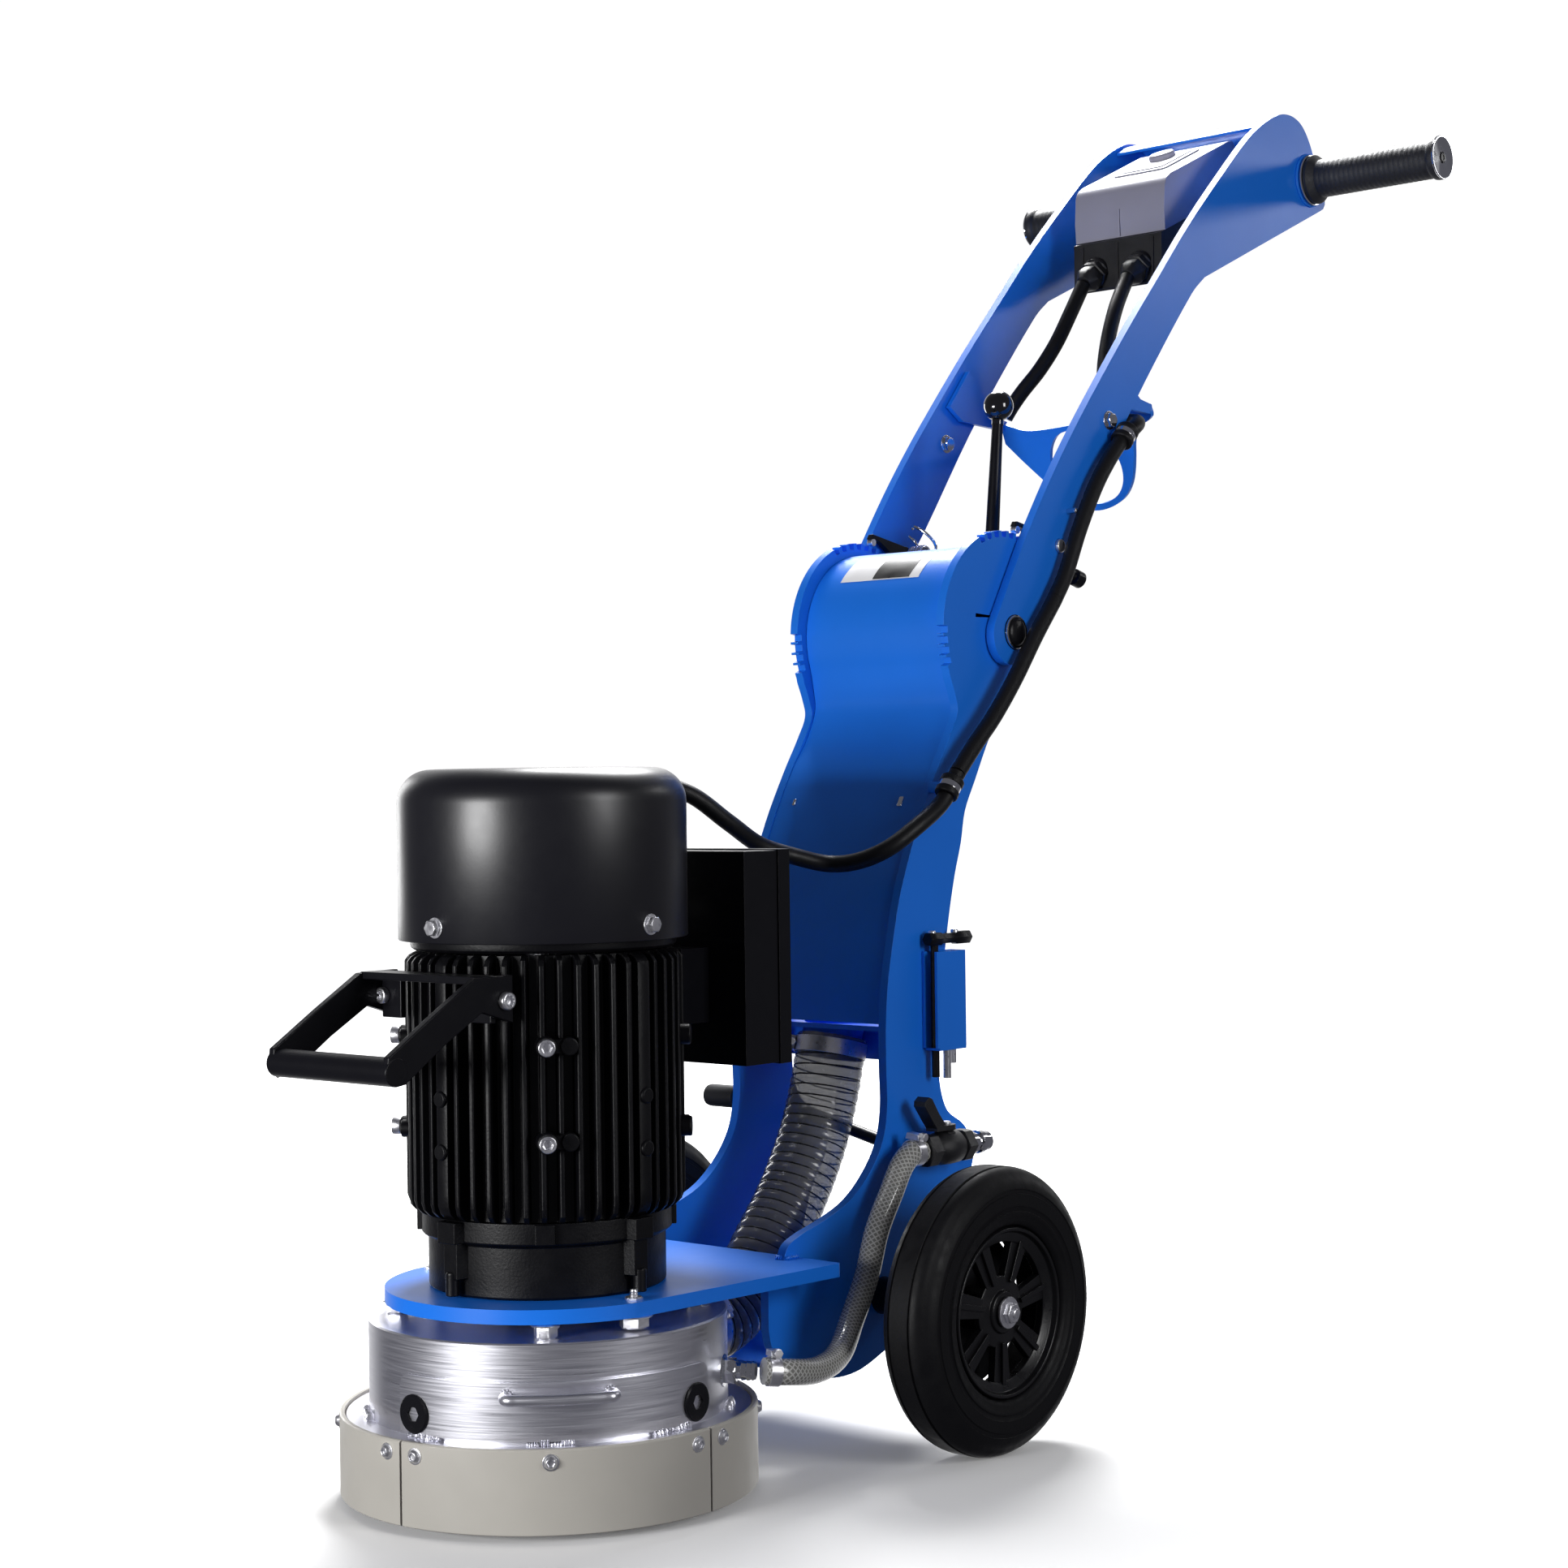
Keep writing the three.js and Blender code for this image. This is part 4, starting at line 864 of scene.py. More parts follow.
def fan_cover():
    piece = Piece("fan_cowl", COVER_BLACK, STEEL)
    thick, round_r = 2.2, 25
    low = COVER_LOW + 5.5
    outer = [(COVER_R - 0.6, low), (COVER_R, low + 0.8)]
    outer += arc(COVER_R - round_r, COVER_TOP - round_r, round_r, 0, 90, 14)
    slots = 40
    ring = [(72, COVER_TOP), (72, COVER_TOP - thick)]
    inner = arc(COVER_R - round_r, COVER_TOP - round_r, round_r - thick, 90, 0, 14)
    profile = outer + ring + inner + [(COVER_R - thick, low)]
    piece.lathe(profile, steps=128)
    for r0, r1 in ((26, 30), (41, 44), (56, 59)):
        under = COVER_TOP - thick
        piece.lathe([(r0, under), (r1, under), (r1, COVER_TOP), (r0, COVER_TOP)], steps=96)
    piece.lathe([(0, COVER_TOP - thick), (14, COVER_TOP - thick), (15, COVER_TOP), (0, COVER_TOP)], steps=48)
    for i in range(slots):
        deg = 360 / slots * i
        out = outward(deg)
        side = Z.cross(out)
        inner_r = 12 if i % 4 == 0 else (28 if i % 2 == 0 else 42)
        piece.plate([(inner_r, -1.3), (74, -1.3), (74, 1.3), (inner_r, 1.3)],
                    COVER_TOP - thick, COVER_TOP - 0.2, axes=(out, side, Z))
    for deg in (0, 92, 180, 268):
        out = outward(deg)
        hex_head(piece.paint(1), around(COVER_R - 0.4, deg, 423), out, 5.4, 5, washer=True)
        piece.paint(0)
    piece.done("chassis", ["fan_cover"], bevel=0.3, angle=40)


def end_shield():
    low, high = box_mm("end_shield")
    piece = Piece("motor_end_shield", CAST_BLACK)
    piece.lathe([(26.3, low.z), (high.x - 8, low.z), (high.x - 5.5, low.z + 2), (high.x - 5, low.z + 4),
                 (high.x - 5, high.z), (26.3, high.z)], steps=96)
    piece.done("chassis", ["end_shield"], bevel=0.4)


def front_handle():
    low, high = box_mm("front_handle")
    bar_y, bar_z = low.y + 10, low.z + 10
    side_x = high.x - 3
    piece = Piece("lifting_handle", BLACK, STEEL)
    piece.tube([(-side_x - 3, bar_y, bar_z), (side_x + 3, bar_y, bar_z)], 10, 32)
    for s in (-1, 1):
        line = [(-92, 391), (-128, 390), (-168, 366), (-207, 341.5)]
        under = [(-209, 326), (-200, 321), (-192, 322), (-156, 346), (-121, 366), (-92, 357)]
        x = s * side_x
        piece.plate(line + under, x - 3, x + 3)
        hex_out = Vector((s, 0, 0))
        socket_head(piece.paint(1), Vector((x + s * 3, -100, 373)), hex_out, 6.5, 5.5, 0.5, 0.2)
        front = Vector((x - s * 6, -96, 373))
        socket_head(piece, front + Vector((0, -12, 0)), -Y, 6, 5, 0.5, 0.2)
        piece.paint(0)
        piece.plate([(x - s * 3, 357), (x - s * 24, 357), (x - s * 24, 391), (x - s * 3, 391)][::s],
                    103, 108, "XZ")
    piece.plate([(-side_x, -126), (side_x, -126), (side_x, -104), (-side_x, -104)], 385.5, 391, "XY")
    piece.done("chassis", ["front_handle"], bevel=1.2, segments=3)


def terminal_box():
    y0, y1 = 137, box_mm("terminal_box")[1].y
    z0, z1 = 308, 472
    piece = Piece("terminal_case", BLACK, STEEL, PLASTIC)
    piece.plate([(-78, y0), (78, y0), (78, y1 - 14), (-78, y1 - 14)], z0, z1, "XY")
    piece.plate([(-79, y1 - 13.4), (79, y1 - 13.4), (79, y1), (-79, y1)], z0 - 1, z1 + 1, "XY")
    piece.plate([(-40, 106), (40, 106), (40, y0), (-40, y0)], 340, 398, "XY")
    for x in (-68, 68):
        for z in (z0 + 12, z1 - 12):
            socket_head(piece.paint(1), Vector((x, y1, z)), Y, 4.5, 2.5, 0.5, 0.5)
    piece.paint(2)
    for r, h0, h1, shape in ((12, 472, 477, "hex"), (10.5, 477, 479, "round"), (11.5, 479, 486, "hex")):
        piece.loft(stack((-40, 163, 0), Z, [(r, h0, shape), (r, h1, shape)]))
    piece.done("chassis", ["terminal_box"], bevel=2.6, segments=4)


# ---------------------------------------------------------------- column
def tooth_at_rest():
    radius, lean = 91.5, math.radians(77)
    return PIVOT.y + radius * math.cos(lean), PIVOT.z + radius * math.sin(lean)


def notch_angles():
    """Where the latch tooth lands on the notched rim, from the latch and fold limits."""
    ty, tz = tooth_at_rest()
    dy, dz = ty - LATCH.y, tz - LATCH.z
    engage = math.radians(JOINTS["latch_swing"]["range_deg"][1])
    y = LATCH.y + dy * math.cos(engage) - dz * math.sin(engage) - PIVOT.y
    z = LATCH.z + dy * math.sin(engage) + dz * math.cos(engage) - PIVOT.z
    base = math.degrees(math.atan2(z, y))
    fold = JOINTS["handle_fold"]["range_deg"][1]
    return sorted(base + step for step in (-7, 0, 7, 14, 21, 28, 35, fold - 18, fold - 12, fold - 6, fold))


SECTOR_R = 87


def sector_outline():
    """The rim of the notched sector, rear to front, with a square notch at each stop."""
    out = []
    half, deep = 2.35, 5.6
    deg = 64.0
    stops = notch_angles()
    while deg < 204:
        near = [s for s in stops if abs(s - deg) < half + 0.4]
        if near:
            s = near[0]
            for angle, r in ((s - half, SECTOR_R), (s - half * 0.8, SECTOR_R - deep),
                             (s + half * 0.8, SECTOR_R - deep), (s + half, SECTOR_R)):
                a = math.radians(angle)
                out.append((PIVOT.y + r * math.cos(a), PIVOT.z + r * math.sin(a)))
            deg = s + half + 1.2
        else:
            a = math.radians(deg)
            out.append((PIVOT.y + SECTOR_R * math.cos(a), PIVOT.z + SECTOR_R * math.sin(a)))
            deg += 2.2
    return out


def side_plate(name, node, x0, x1):
    front = pairs(smooth_line([
        (389, 612), (395.5, 597), (399, 583), (388, 562), (371, 536), (345, 491), (320, 434), (310, 398),
        (302, 360), (299, 329), (298.5, 295), (299, 261), (292.6, 234.7), (276, 212), (251, 192.5),
        (220, 180.7),
        (190, 172.5), (176, 166), (170, 156.3),
    ], 5))
    under = [(188.3, 156.3), (188.3, 145.2), (152, 145.2), (152, 104)]
    under += pairs(smooth_line([
        (152, 104), (156, 90), (170, 78), (190, 68), (212, 59), (235, 55), (262, 57), (300, 70),
    ], 4))[1:]
    back = pairs(smooth_line([
        (300, 70), (340, 90), (372, 130), (392, 176), (408, 198), (413, 218), (400, 238), (378, 252),
        (369, 272), (367, 300), (372, 352), (382, 406), (392, 446), (401, 473), (407, 499), (421, 524),
        (444, 563), (472, 600), (499, 636), (508, 668), (509, 700), (505, 724),
    ], 4))[1:]
    outline = sector_outline() + front + under + back
    piece = Piece(name, BLUE)
    holes = [circle(PIVOT.y, PIVOT.z, 12.3, 32), circle(AXLE.y, AXLE.z, 10.6, 32)]
    piece.plate(outline, x0, x1, "YZ", holes)
    outside = x1 if x1 > 0 else x0
    inside = x0 if x1 > 0 else x1
    for face in (outside, inside):
        weld_bead(piece, [(face, 171, 157), (face, 180, 157.2), (face, 187, 157)], 2.0)
    weld_bead(piece, [(outside * 0.96, 172, 157), (outside * 0.9, 170, 157.4)], 2.4)
    piece.done("chassis", [node], bevel=0.9, segments=2, angle=25)


def belly_pan():
    """The rolled pan under the hose and the black strut, both welded to the left plate."""
    half = PLATE_IN - 0.3
    pan = Piece("belly_pan", BLUE)
    line = pairs(smooth_line([(206, 61.5), (235, 57.5), (267, 62.5), (300, 74.5), (336, 93.5), (362, 126)], 6))
    pan.plate(ribbon(line, 3), -half, half, "YZ")
    pan.done("chassis", bevel=0.5, angle=25)
    strut = Piece("column_strut", BLACK)
    low, high = Vector((half - 2, 380, 207)), Vector((-half, 380, 241))
    strut.tube([low, low.lerp(high, 0.5), high], 5.5, 20)
    strut.done("chassis", bevel=0.4)


def ribbon(line, thickness):
    left, right = [], []
    for i, point in enumerate(line):
        before, after = line[max(i - 1, 0)], line[min(i + 1, len(line) - 1)]
        du, dv = after[0] - before[0], after[1] - before[1]
        half = thickness / 2 / math.hypot(du, dv)
        left.append((point[0] - dv * half, point[1] + du * half))
        right.append((point[0] + dv * half, point[1] - du * half))
    return left + right[::-1]


def column_sheet():
    low, high = box_mm("column_sheet")
    drum_r = 74
    line = arc(PIVOT.y, PIVOT.z, drum_r, 52, 200, 50)
    line += pairs(smooth_line([
        (398.5, 624.7), (402.5, 606), (404.5, 588), (393, 562), (374.5, 537.5), (348.5, 492.5),
        (323.5, 435.5), (313.5, 399.5), (305.5, 361.5), (302.5, 328),
    ], 6))[1:]
    piece = Piece("column_front_sheet", BLUE, STEEL)
    piece.plate(ribbon(line, 3), low.x, high.x, "YZ")
    piece.done("chassis", ["column_sheet"], bevel=0.5, angle=25)
    label = Piece("blank_label", WHITE, YELLOW, INK)
    r = drum_r + 1.75
    for i, (x0, x1, d0, d1) in enumerate((
        (-50, 36, 112, 141), (-5, 35, 112.7, 119), (-15, 25, 120, 140),
    )):
        height = r + 0.12 * i
        points = arc(PIVOT.y, PIVOT.z, height, d0, d1, 8) + arc(PIVOT.y, PIVOT.z, height - 0.3, d1, d0, 8)
        label.paint(i).plate(points, x0, x1, "YZ")
    label.done("chassis")
    tabs = Piece("sheet_tabs", CHROME)
    slope = Vector((0, 0.48, 0.877))
    for x, half in ((-58, 3), (58, 4.5)):
        spot = Vector((x, 354.3, 507.5))
        outline = round_rect(half * 0.5, half, 0.8, 3)
        tabs.plate(outline, -1, 1.4, origin=spot, axes=(X, slope, X.cross(slope)))
    tabs.done("chassis", bevel=0.3)


def dust_port():
    low, high = box_mm("dust_port")
    piece = Piece("dust_elbow", BLUE)
    piece.plate([(low.x, 303), (high.x, 303), (high.x, 366), (low.x, 366)], 322, 326, "XY",
                [circle(0, 334, 24, 40)])
    piece.block((low.x, 362, 292), (high.x, 366, 323))
    route = smooth_line([
        (0, 326.8, 296), (0, 333, 320), (0, 347, 345), (0, 374, 362), (0, 404, 368), (0, 439.8, 368),
    ], 8)
    piece.tube(route, 25, 40, caps=False)
    piece.tube(route, 22, 40, caps=False)
    piece.lathe([(22, 0), (25, 0), (25, 1), (22, 1)], route[0], Vector((0, 0.1, 1)).normalized(), 40)
    lip = [(22, 0), (25, 0), (25.8, 1.5), (25.8, 5), (25, 6), (22, 6)]
    piece.lathe(lip, route[-1] - Y * 6, Y, 40)
    piece.done("chassis", ["dust_port"], bevel=0.4, angle=40)


KEY_X, KEY_Y = 92, 353


def tool_holder():
    low, high = box_mm("tool_holder")
    piece = Piece("tool_pocket", BLUE, STEEL)
    lx, ly, lz = low
    hx, hy, hz = high
    wall = 2.5
    piece.plate([(lx, ly), (lx + wall, ly), (lx + wall, hy - wall), (hx - wall, hy - wall), (hx - wall, ly),
                 (hx, ly), (hx, hy), (lx, hy)], lz, hz, "XY")
    floor = [(lx, ly + 3), (hx, ly + 3), (hx, hy), (lx, hy)]
    piece.plate(floor, lz - 2, lz, "XY", [circle(KEY_X, KEY_Y, 4.2, 16)])
    piece.done("chassis", ["tool_holder"], bevel=0.6)
    tips = Piece("spare_keys", STEEL)
    for y, z0 in ((368, lz - 26), (375, lz - 14)):
        tips.loft(stack((KEY_X, y, 0), Z, [(3, z0, "hex"), (3, lz + 40, "hex")]))
    tips.done("chassis", bevel=0.3)


def hex_key():
    low, high = box_mm("hex_key")
    piece = Piece("allen_key", BLACK, STEEL)
    for z0, z1 in ((low.z, low.z + 26), (low.z + 26, 392)):
        piece.loft(stack((KEY_X, KEY_Y, 0), Z, [(2.9, z0, "hex"), (2.9, z1, "hex")]))
    bar = [
        (4.6, low.y), (5.2, low.y + 1), (5.2, low.y + 15), (4, low.y + 17),
        (4, high.y - 20), (5.2, high.y - 18), (5.2, high.y - 1), (4.6, high.y),
    ]
    piece.loft(stack((KEY_X, 0, 395), Y, [(r, y, "hex") for r, y in bar]))
    piece.paint(1)
    for y in (380, 350):
        socket_head(piece, Vector((KEY_X, y, 399)), Z, 3.2, 3, 0.5, 0.3)
    piece.done("key", ["hex_key"], bevel=0.4)


def pivot_parts():
    low, high = box_mm("pivot_shaft")
    piece = Piece("pivot_bolt", BLACK, CHROME)
    piece.lathe([(0, low.x + 4), (12, low.x + 4), (12, high.x - 4), (0, high.x - 4)],
                (0, PIVOT.y, PIVOT.z), X, 40, closed=False)
    for s in (-1, 1):
        face = Vector((s * (high.x - 3.8), PIVOT.y, PIVOT.z))
        out = Vector((s, 0, 0))
        dome = [(15, 0), (15, 0.6), (12.6, 0.8), (11.6, 2.6), (9, 4.2), (3, 4.8)]
        piece.paint(0).loft(stack(face, out, dome, 40))
        rim = [(14.6, 0.4), (14.4, 1.8), (13.6, 2.4), (12.4, 2.2), (12.2, 0.9), (10, 0.7)]
        piece.paint(1).loft(stack(face, out, rim, 32))
    piece.done("chassis", ["pivot_shaft"])
    low, high = box_mm("storage_peg")
    peg = Piece("hose_peg", PLASTIC)
    y, z, r = (low.y + high.y) / 2, (low.z + high.z) / 2, (high.z - low.z) / 2
    peg.lathe([(0, 0), (r, 0), (r, high.x - low.x - 4), (r - 0.6, high.x - low.x - 1.6),
               (r - 3, high.x - low.x), (0, high.x - low.x)], (high.x, y, z), -X, 40, closed=False)
    peg.done("chassis", ["storage_peg"])


# ---------------------------------------------------------------- running gear
def axle():
    piece = Piece("axle_bar", STEEL, BLACK)
    tip = box_mm("axle")[1].x - 9
    centre = (0, AXLE.y, AXLE.z)
    bar = [(0, -tip), (10, -tip), (10, -PLATE_OUT), (10, PLATE_OUT), (10, tip), (0, tip)]
    piece.lathe(bar, centre, X, 40, closed=False)
    for s in (-1, 1):
        way = Vector((s, 0, 0))
        start = (s * (PLATE_OUT + 0.3), AXLE.y, AXLE.z)
        length = WHEEL_X - WHEEL_HALF + 1.5 - PLATE_OUT - 0.3
        piece.paint(1).lathe([(10, 0), (15, 0), (15, length), (10, length)], start, way, 40)
        face = Vector((s * tip, AXLE.y, AXLE.z))
        washer = [(10, -1), (12.2, -0.5), (12.5, 0.4), (12.2, 1.6), (7, 1.6)]
        piece.paint(0).loft(stack(face, way, washer, 32))
        hex_head(piece, face + way * 1.5, way, 7.2, 5.2, washer=False)
        piece.loft(stack(face, way, [(3.8, 6), (3.8, 8.4), (3, 9)]))
    piece.done("chassis", ["axle"], bevel=0.25)


def wheel(name, side):
    body = f"wheel_{name}"
    centre = (side * WHEEL_X, AXLE.y, AXLE.z)
    way = Vector((side, 0, 0))
    half = WHEEL_HALF
    tyre = Piece(f"tyre_{name}_moulded", TYRE)
    r = WHEEL_R
    outer = [
        (RIM_R + 0.3, half - 7), (RIM_R + 1.5, half - 4), (RIM_R + 5, half - 1.6), (RIM_R + 8, half - 1.4),
        (RIM_R + 9, half - 0.4), (RIM_R + 11.5, half - 0.2), (RIM_R + 12.2, half - 1.0),
        (RIM_R + 15.5, half - 0.7), (RIM_R + 16, half), (RIM_R + 25, half), (RIM_R + 25.6, half - 0.9),
        (RIM_R + 28.4, half - 1.2),
        (RIM_R + 29, half - 0.6), (RIM_R + 33, half - 1.8), (r - 8.5, half - 4.4), (r - 7.6, half - 5.4),
        (r - 5, half - 7), (r - 2.6, half - 9.4), (r - 1.2, half - 11.8), (r - 0.4, half - 14.2),
        (r - 1.6, half - 14.8), (r - 1.6, half - 16.2), (r, half - 16.8), (r, half - 22),
    ]
    mirrored = [(a, -b) for a, b in reversed(outer)]
    tyre.lathe(outer + mirrored, centre, way, 144)
    tyre.done(body, [f"tyre_{name}"], angle=50)
    rim = Piece(f"rim_{name}_moulded", RIM)
    rim.lathe([(RIM_R, 19), (RIM_R - 1.4, 21.5), (RIM_R - 3.5, 21), (RIM_R - 5, 17), (56, 14.5), (54, 13.2),
               (54, 7), (RIM_R - 4, 5), (RIM_R - 4, -18), (RIM_R - 1, -21), (RIM_R, -20)], centre, way, 112)
    rim.lathe([
        (10.4, 17), (13, 17), (15.8, 16.4), (16.6, 15), (17, 13.8), (26, 12.8), (28, 12), (28, 7), (19, 5),
        (17, -18.5), (RIM_R - 5, -18.5), (RIM_R - 5, -21), (17, -22), (10.4, -22),
    ], centre, way, 96)
    spokes = 7
    for i in range(spokes):
        a = 2 * math.pi * (i + 0.25) / spokes
        out = Vector((0, math.cos(a), math.sin(a)))
        across = way.cross(out)
        for height, wide0, wide1, base in ((12.8, 7.5, 10.5, 6), (15.4, 2.0, 2.4, 12)):
            outline = [(24, -wide0), (57, -wide1), (57, wide1), (24, wide0)]
            rim.plate(outline, base, height, axes=(out, across, out.cross(across)), origin=centre)
    rim.done(body, [f"rim_{name}"], bevel=0.7, angle=38)


# ---------------------------------------------------------------- hoses and cables
vacuum_route = [
    (0, 156, 95), (0, 186, 98), (0, 216, 115), (0, 245, 148), (0, 277, 186), (0, 303, 228), (0, 320, 270),
    (0, 331, 312),
]
water_route = [
    (139, 83.6, 92), (147, 98, 90), (142, 140, 84), (130, 180, 88), (114, 216, 108), (108, 242, 138),
    (107, 256, 170), (106, 276, 198), (104, 293, 218), (104, 305, 225.5), (104, 316.8, 226),
]
supply_route = [
    (-25, 745, 996), (-29, 728, 966), (-36, 714, 937), (-47, 702, 912), (-59, 691, 892), (-67, 685, 878),
    (-72, 681.5, 868),
]
CABLE_X = 104.5
handle_route = [
    (25, 745, 996), (31, 716, 962), (36, 694, 924), (45, 676, 890), (62, 661, 861), (82, 656, 848),
    (97, 651, 844.5), (CABLE_X, 635, 837.5), (CABLE_X, 619, 828), (CABLE_X, 581, 790), (CABLE_X, 550, 744),
    (CABLE_X, 526, 700), (CABLE_X, 511, 680),
]
bridge_route = [
    (CABLE_X, 509.6, 678.2), (CABLE_X, 482, 647), (CABLE_X, 451, 609), (CABLE_X, 421, 577),
    (CABLE_X, 394, 553), (CABLE_X, 372, 532),
]
motor_route = [
    (CABLE_X, 370.4, 530.4), (103, 352, 507), (99, 322, 487), (86, 301, 470), (60, 294, 460),
    (34, 289, 458), (18, 268, 464), (6, 238, 474), (4, 202, 493), (-6, 168, 516), (-22, 144, 525),
    (-36, 157, 518), (-40, 163, 501), (-40, 163, 485.6),
]


def hose_clamp(piece, centre, axis, r, width, screw_way):
    """A worm-drive clamp: a plain band, its screw housing and its screw head."""
    axis = axis.normalized()
    piece.loft([ring_points(centre, axis, size, h, 48) for size, h in (
        (r, -width / 2), (r + 0.9, -width / 2), (r + 0.9, width / 2), (r, width / 2))], caps=False)
    seat = Vector(centre) + screw_way * (r + 1)
    across = axis.cross(screw_way).normalized()
    piece.plate([(-7, 0), (7, 0), (6, 5), (-6, 5)], -width * 0.45, width * 0.45, origin=seat,
                axes=(across, screw_way, across.cross(screw_way)))
    start = seat + screw_way * 3 + across * 5
    hex_head(piece, start, across, 3.3, 6, washer=False)


def vacuum_hose():
    line = smooth_line(vacuum_route, 30)
    outer = 29.2
    pitch = 9.4
    rows = frames_along(line)
    lengths = [0]
    for before, after in zip(line, line[1:]):
        lengths.append(lengths[-1] + (after - before).length)
    travelled = lengths[-1]
    film = Piece("vacuum_hose_film", FILM)
    sides = 48
    rings = []
    for (point, normal, side), s in zip(rows, lengths):
        ring = []
        for j in range(sides):
            turn = j / sides
            swell = abs(math.sin(math.pi * (s / pitch - turn)))
            a = 2 * math.pi * turn
            out = normal * math.cos(a) + side * math.sin(a)
            ring.append(point + out * (outer - 1.1 + 1.1 * swell))
        rings.append(ring)
    film.loft(rings, caps=False)
    film.done("chassis", ["vacuum_hose"], angle=75)
    wire = Piece("vacuum_hose_wire", WIRE)
    helix = []
    steps = int(travelled / pitch * 28)
    k = 0
    for i in range(steps):
        s = travelled * i / (steps - 1)
        while k < len(lengths) - 2 and lengths[k + 1] < s:
            k += 1
        t = (s - lengths[k]) / (lengths[k + 1] - lengths[k])
        point = rows[k][0].lerp(rows[k + 1][0], t)
        a = 2 * math.pi * s / pitch
        normal, side = rows[k][1], rows[k][2]
        helix.append(point + (normal * math.cos(a) + side * math.sin(a)) * (outer - 1.0))
    wire.tube(helix, 0.7, 6)
    wire.done("chassis", angle=60)
    bands = Piece("vacuum_hose_clamps", STEEL)
    screw_way = Vector((-0.75, -0.66, 0.16)).normalized()
    hose_clamp(bands, Vector((0, 328.6, 303)), Vector((0, 0.25, 1)), 29.3, 13, screw_way)
    hose_clamp(bands, Vector((0, 164, 95.3)), Y, 29.3, 13, Vector((0.8, 0, 0.6)).normalized())
    bands.done("chassis", bevel=0.3)


def water_hose():
    hose = Piece("water_hose_braided", BRAID)
    hose.tube(smooth_line(water_route, 12), 9.9, 32)
    hose.done("chassis", ["water_hose"], angle=60)
    bands = Piece("water_hose_clamps", STEEL, BLACK)
    start, after = Vector(water_route[0]), Vector(water_route[1])
    hose_clamp(bands, start.lerp(after, 0.45), after - start, 10.1, 9, Vector((0, 0.1, 1)).normalized())
    hose_clamp(bands, Vector((104, 308, 225.6)), Y, 10.1, 9, Vector((0.1, 0, 1)).normalized())
    bands.done("chassis", bevel=0.3)


def valve():
    x, z = 104, 226
    body = Piece("valve_block", PLASTIC, CHROME, BLUE)
    body.loft(stack((x, 0, z), Y, [
        (10.5, 318), (12.5, 318.5, "hex"), (12.5, 330, "hex"), (10.8, 331), (11, 336), (13.6, 340),
        (14, 350), (13.6, 360), (11, 364), (12.4, 365, "hex"), (12.4, 375, "hex"), (9, 376),
    ], 32))
    body.loft(stack((x, 350, 0), Z, [(8, z + 6), (8, 238.5), (6, 240), (6, 240.2)]))
    body.paint(1).loft(stack((x, 0, z), Y, [
        (9.4, 375), (9.4, 384), (7.6, 385), (7.6, 389), (9.6, 390), (9.6, 395),
        (8.2, 396.5), (8.2, 403), (7.4, 404), (5.6, 404), (5.6, 392), (1, 392),
    ], 32))
    body.paint(2).plate([(336, 220), (364, 220), (364, 232), (336, 232)], PLATE_OUT + 0.3, x - 8, "YZ")
    body.done("chassis", ["valve_body"], bevel=0.4)
    low = box_mm("valve_lever")[0]
    lever = Piece("valve_wing", PLASTIC, STEEL)
    lever.plate([*arc(x, 350, 8, 0, 180, 12), (x - 6, 331), (x + 6, 331)], low.z, low.z + 4.4, "XY")
    lever.plate([(333, 240.6), (343, 244.8), (334, 255), (325, 268), (321, 269.5), (316, 266), (315.6, 262),
                 (325, 250)], x - 6, x + 6, "YZ")
    socket_head(lever.paint(1), Vector((x, 350, low.z + 4.2)), Z, 4, 2.6, 0.5, 0.4)
    lever.done("valve_handle", ["valve_lever"], bevel=0.9, segments=3)


def clamp_rings(piece, centre, along, r):
    """Two black rubber rings with a bright band between them round a cable."""
    along = along.normalized()
    for offset in (-5.4, 5.4):
        middle = Vector(centre) + along * offset
        ring = [(r - 3.8, -3.2), (r - 0.8, -3.2), (r, -2.2), (r, 2.2), (r - 0.8, 3.2), (r - 3.8, 3.2)]
        piece.paint(0).lathe(ring, middle, along, 40)
    band = [(r - 3.5, -2.6), (r - 0.6, -2.6), (r - 0.6, 2.6), (r - 3.5, 2.6)]
    piece.paint(1).lathe(band, centre, along, 40)


def standoff(piece, start, stop, y, z):
    """A round blue post along X between a plate and its cable clip."""
    piece.paint(2).lathe([(0, start), (5, start), (5, stop), (0, stop)], (0, y, z), X, 24, closed=False)


def lead(name, route, body, node):
    """A rubber cable along its route, riding whole on one body."""
    piece = Piece(name, RUBBER)
    piece.tube(smooth_line(route, 12), CABLE_R, 24)
    piece.done(body, [node], angle=60)


def cables():
    lead("motor_lead", motor_route, "chassis", "motor_cable")
    lead("handle_lead", handle_route, "handle", "handle_cable")
    lead("supply_lead_drop", supply_route, "handle", "supply_lead")
    bridge = Piece("pivot_lead", RUBBER)
    lapped = [(CABLE_X, 510.8, 679.7), *bridge_route, (CABLE_X, 370.8, 530.8)]
    bridge.tube(smooth_line(lapped, 14), CABLE_R - 0.05, 24)
    obj = bridge.done(None, ["bridge_cable"], angle=60)
    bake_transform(obj)
    low = Piece("column_cable_clip", RUBBER, CHROME, BLUE)
    clamp_rings(low, Vector((103.6, 361, 519)), Vector((-0.5, -18, -23)), 10)
    standoff(low, PLATE_OUT + 0.2, 96, 361, 519)
    low.done("chassis", ["column_clamp"], bevel=0.4)
    high = Piece("arm_cable_clip", RUBBER, CHROME, BLUE)
    clamp_rings(high, Vector((CABLE_X, 620, 829)), Vector((0, -0.72, -0.69)), 10.3)
    standoff(high, ARM_OUT + 0.2, 98, 620, 830)
    high.done("handle", ["arm_clamp"], bevel=0.4)


